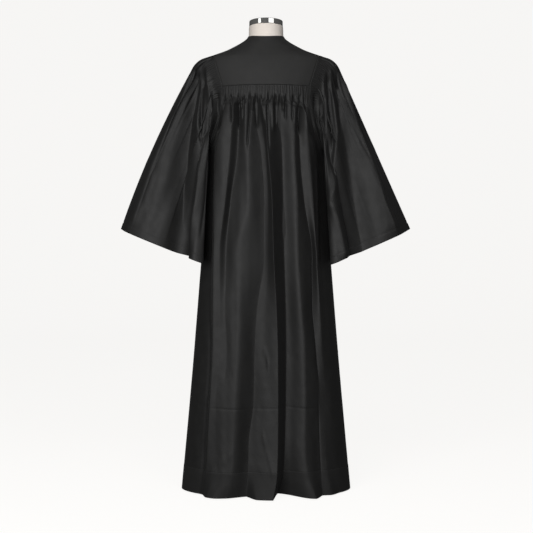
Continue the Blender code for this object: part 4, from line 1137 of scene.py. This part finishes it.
def make_zip(metal):
    """The teeth on the tape, in two interlocking rows below the slider and parted above it."""
    verts, faces = [], []
    middle = -math.pi / 2
    count = len(TOOTH_OUTLINE)
    z = ZIP_BOTTOM_Z + 0.006
    while z < ZIP_TOP_Z:
        apart = 0.0009 + min(max(z - SLIDER_Z - 0.004, 0.0) * 0.06, 0.0016)
        sides = () if abs(z - SLIDER_Z) < 0.0065 else (1, -1)
        for side in sides:
            height = np.float64(z + (0 if side > 0 else TOOTH_PITCH / 2))
            centre = robe_point(middle, height) - robe_normal(middle, height) * (TAPE_DEPTH - 0.0007)
            centre = centre + np.array([side * apart, 0, 0])
            base = len(verts)
            for up in (-1, 1):
                shrink = -side * (0.7 if up > 0 else 1.0)
                for dx, dy in TOOTH_OUTLINE:
                    away = np.array([dx * shrink / 2, dy / 2, up])
                    verts.append(tuple(centre + away * TOOTH_SIZE))
            low = [base + k for k in range(count)]
            high = [corner + count for corner in low]
            after = low[1:] + low[:1]
            faces += [(a, b, b + count, a + count) for a, b in zip(low, after)]
            faces += [tuple(reversed(low)), tuple(high)]
        z += TOOTH_PITCH
    mesh = bpy.data.meshes.new("zip_teeth")
    mesh.from_pydata(verts, [], faces)
    mesh.update()
    shape = bmesh.new()
    shape.from_mesh(mesh)
    bmesh.ops.recalc_face_normals(shape, faces=shape.faces)
    shape.to_mesh(mesh)
    shape.free()
    obj = add_piece("zip_teeth", mesh, metal)


def make_stage():
    paper = stage_material()
    wide, rise, bend, near, far, floor = 14.0, 9.0, 1.5, 9.0, -7.0, -0.001
    profile = [(near, floor), (far, floor)]
    for k in range(1, 13):
        a = math.pi / 2 * k / 12
        profile.append((far - bend * math.sin(a), floor + bend * (1 - math.cos(a))))
    profile.append((far - bend, rise))
    grid = np.array([[(x, y, z) for x in np.linspace(-wide, wide, 5)] for y, z in profile])
    mesh = grid_mesh("studio_floor", grid)
    obj = add_object("studio_floor", mesh)
    mesh.materials.append(paper)
    obj.visible_diffuse = False
    obj.visible_glossy = False


def add_light(row):
    light = bpy.data.lights.new(row.name, "AREA")
    light.shape = "RECTANGLE"
    light.size, light.size_y = row.size
    light.energy = row.energy
    obj = add_object(row.name, light)
    obj.location = row.place
    obj.rotation_euler = (Vector(row.target) - Vector(row.place)).to_track_quat("-Z", "Y").to_euler()


def make_light_and_camera():
    for row in LIGHTS:
        add_light(row)
    world = bpy.data.worlds.new("studio")
    world.use_nodes = True
    background = world.node_tree.nodes["Background"]
    background.inputs["Color"].default_value = STUDIO_COLOUR
    background.inputs["Strength"].default_value = STUDIO_STRENGTH
    bpy.context.scene.world = world
    data = bpy.data.cameras.new("camera")
    data.lens, data.sensor_width = CAMERA_LENS, CAMERA_SENSOR
    camera = add_object("camera", data)
    camera.location = CAMERA_PLACE
    camera.rotation_euler = (math.pi / 2, 0.0, math.pi)
    bpy.context.scene.camera = camera
    bpy.context.scene.view_settings.view_transform = "Standard"


def dress_node(name, material):
    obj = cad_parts[name]
    obj = obj if isinstance(obj, bpy.types.Object) else bpy.data.objects[name]
    for slot in obj.material_slots:
        slot.material = material


def main():
    armhole = Armhole()
    cloth = cloth_material("black_cloth")
    thread = thread_material()
    back = make_back_panel(armhole, cloth)
    # The yoke is the same black cloth as the rest. Its copy has the base colour raised 1.9 times, painted
    # light that brightens the yoke.
    make_yoke(armhole, cloth_material("yoke_cloth_finish", 1.9, 0.68, 0.38))
    left = make_front(LEFT_FRONT_FOLDS, armhole, True, cloth)
    right = make_front(RIGHT_FRONT_FOLDS, armhole, False, cloth)
    sleeve_left = make_sleeve("sleeve_cloth_left", "sleeve_left", LEFT_SLEEVE, armhole, cloth, False, 61)
    sleeve_right = make_sleeve("sleeve_cloth_right", "sleeve_right", RIGHT_SLEEVE, armhole, cloth, True, 71)
    for name, grid in (("hem_stitch_back", back), ("hem_stitch_left", left), ("hem_stitch_right", right)):
        stitches(name, *level_line(grid, HEM_DEEP), thread)
    for name, grid in (("cuff_stitch_left", sleeve_left), ("cuff_stitch_right", sleeve_right)):
        path, ways = level_line(grid, grid[-1, :, 2] + CUFF_HEM * 0.97, closed=True)
        stitches(name, path, ways, thread)
    make_form(linen_material())
    lacquer = metal_material("black_lacquer", (0.030, 0.030, 0.032), (0.060, 0.060, 0.062), (0.28, 0.42))
    make_zip(lacquer)
    dress_node("zip_tape", tape_material())
    dress_node("zip_slider", lacquer)
    dress_node("zip_pull", lacquer)
    grey, pale = (0.62, 0.62, 0.60), (0.70, 0.70, 0.68)
    dress_node("form_neck_cap", metal_material("polished_chrome", grey, pale, (0.04, 0.08), metallic=0.88))
    grey, pale = (0.50, 0.50, 0.51), (0.62, 0.62, 0.63)
    steel = metal_material("brushed_steel", grey, pale, (0.24, 0.40), brushed=True)
    dress_node("form_pole", steel)
    dress_node("form_base", steel)
    make_stage()
    make_light_and_camera()


main()
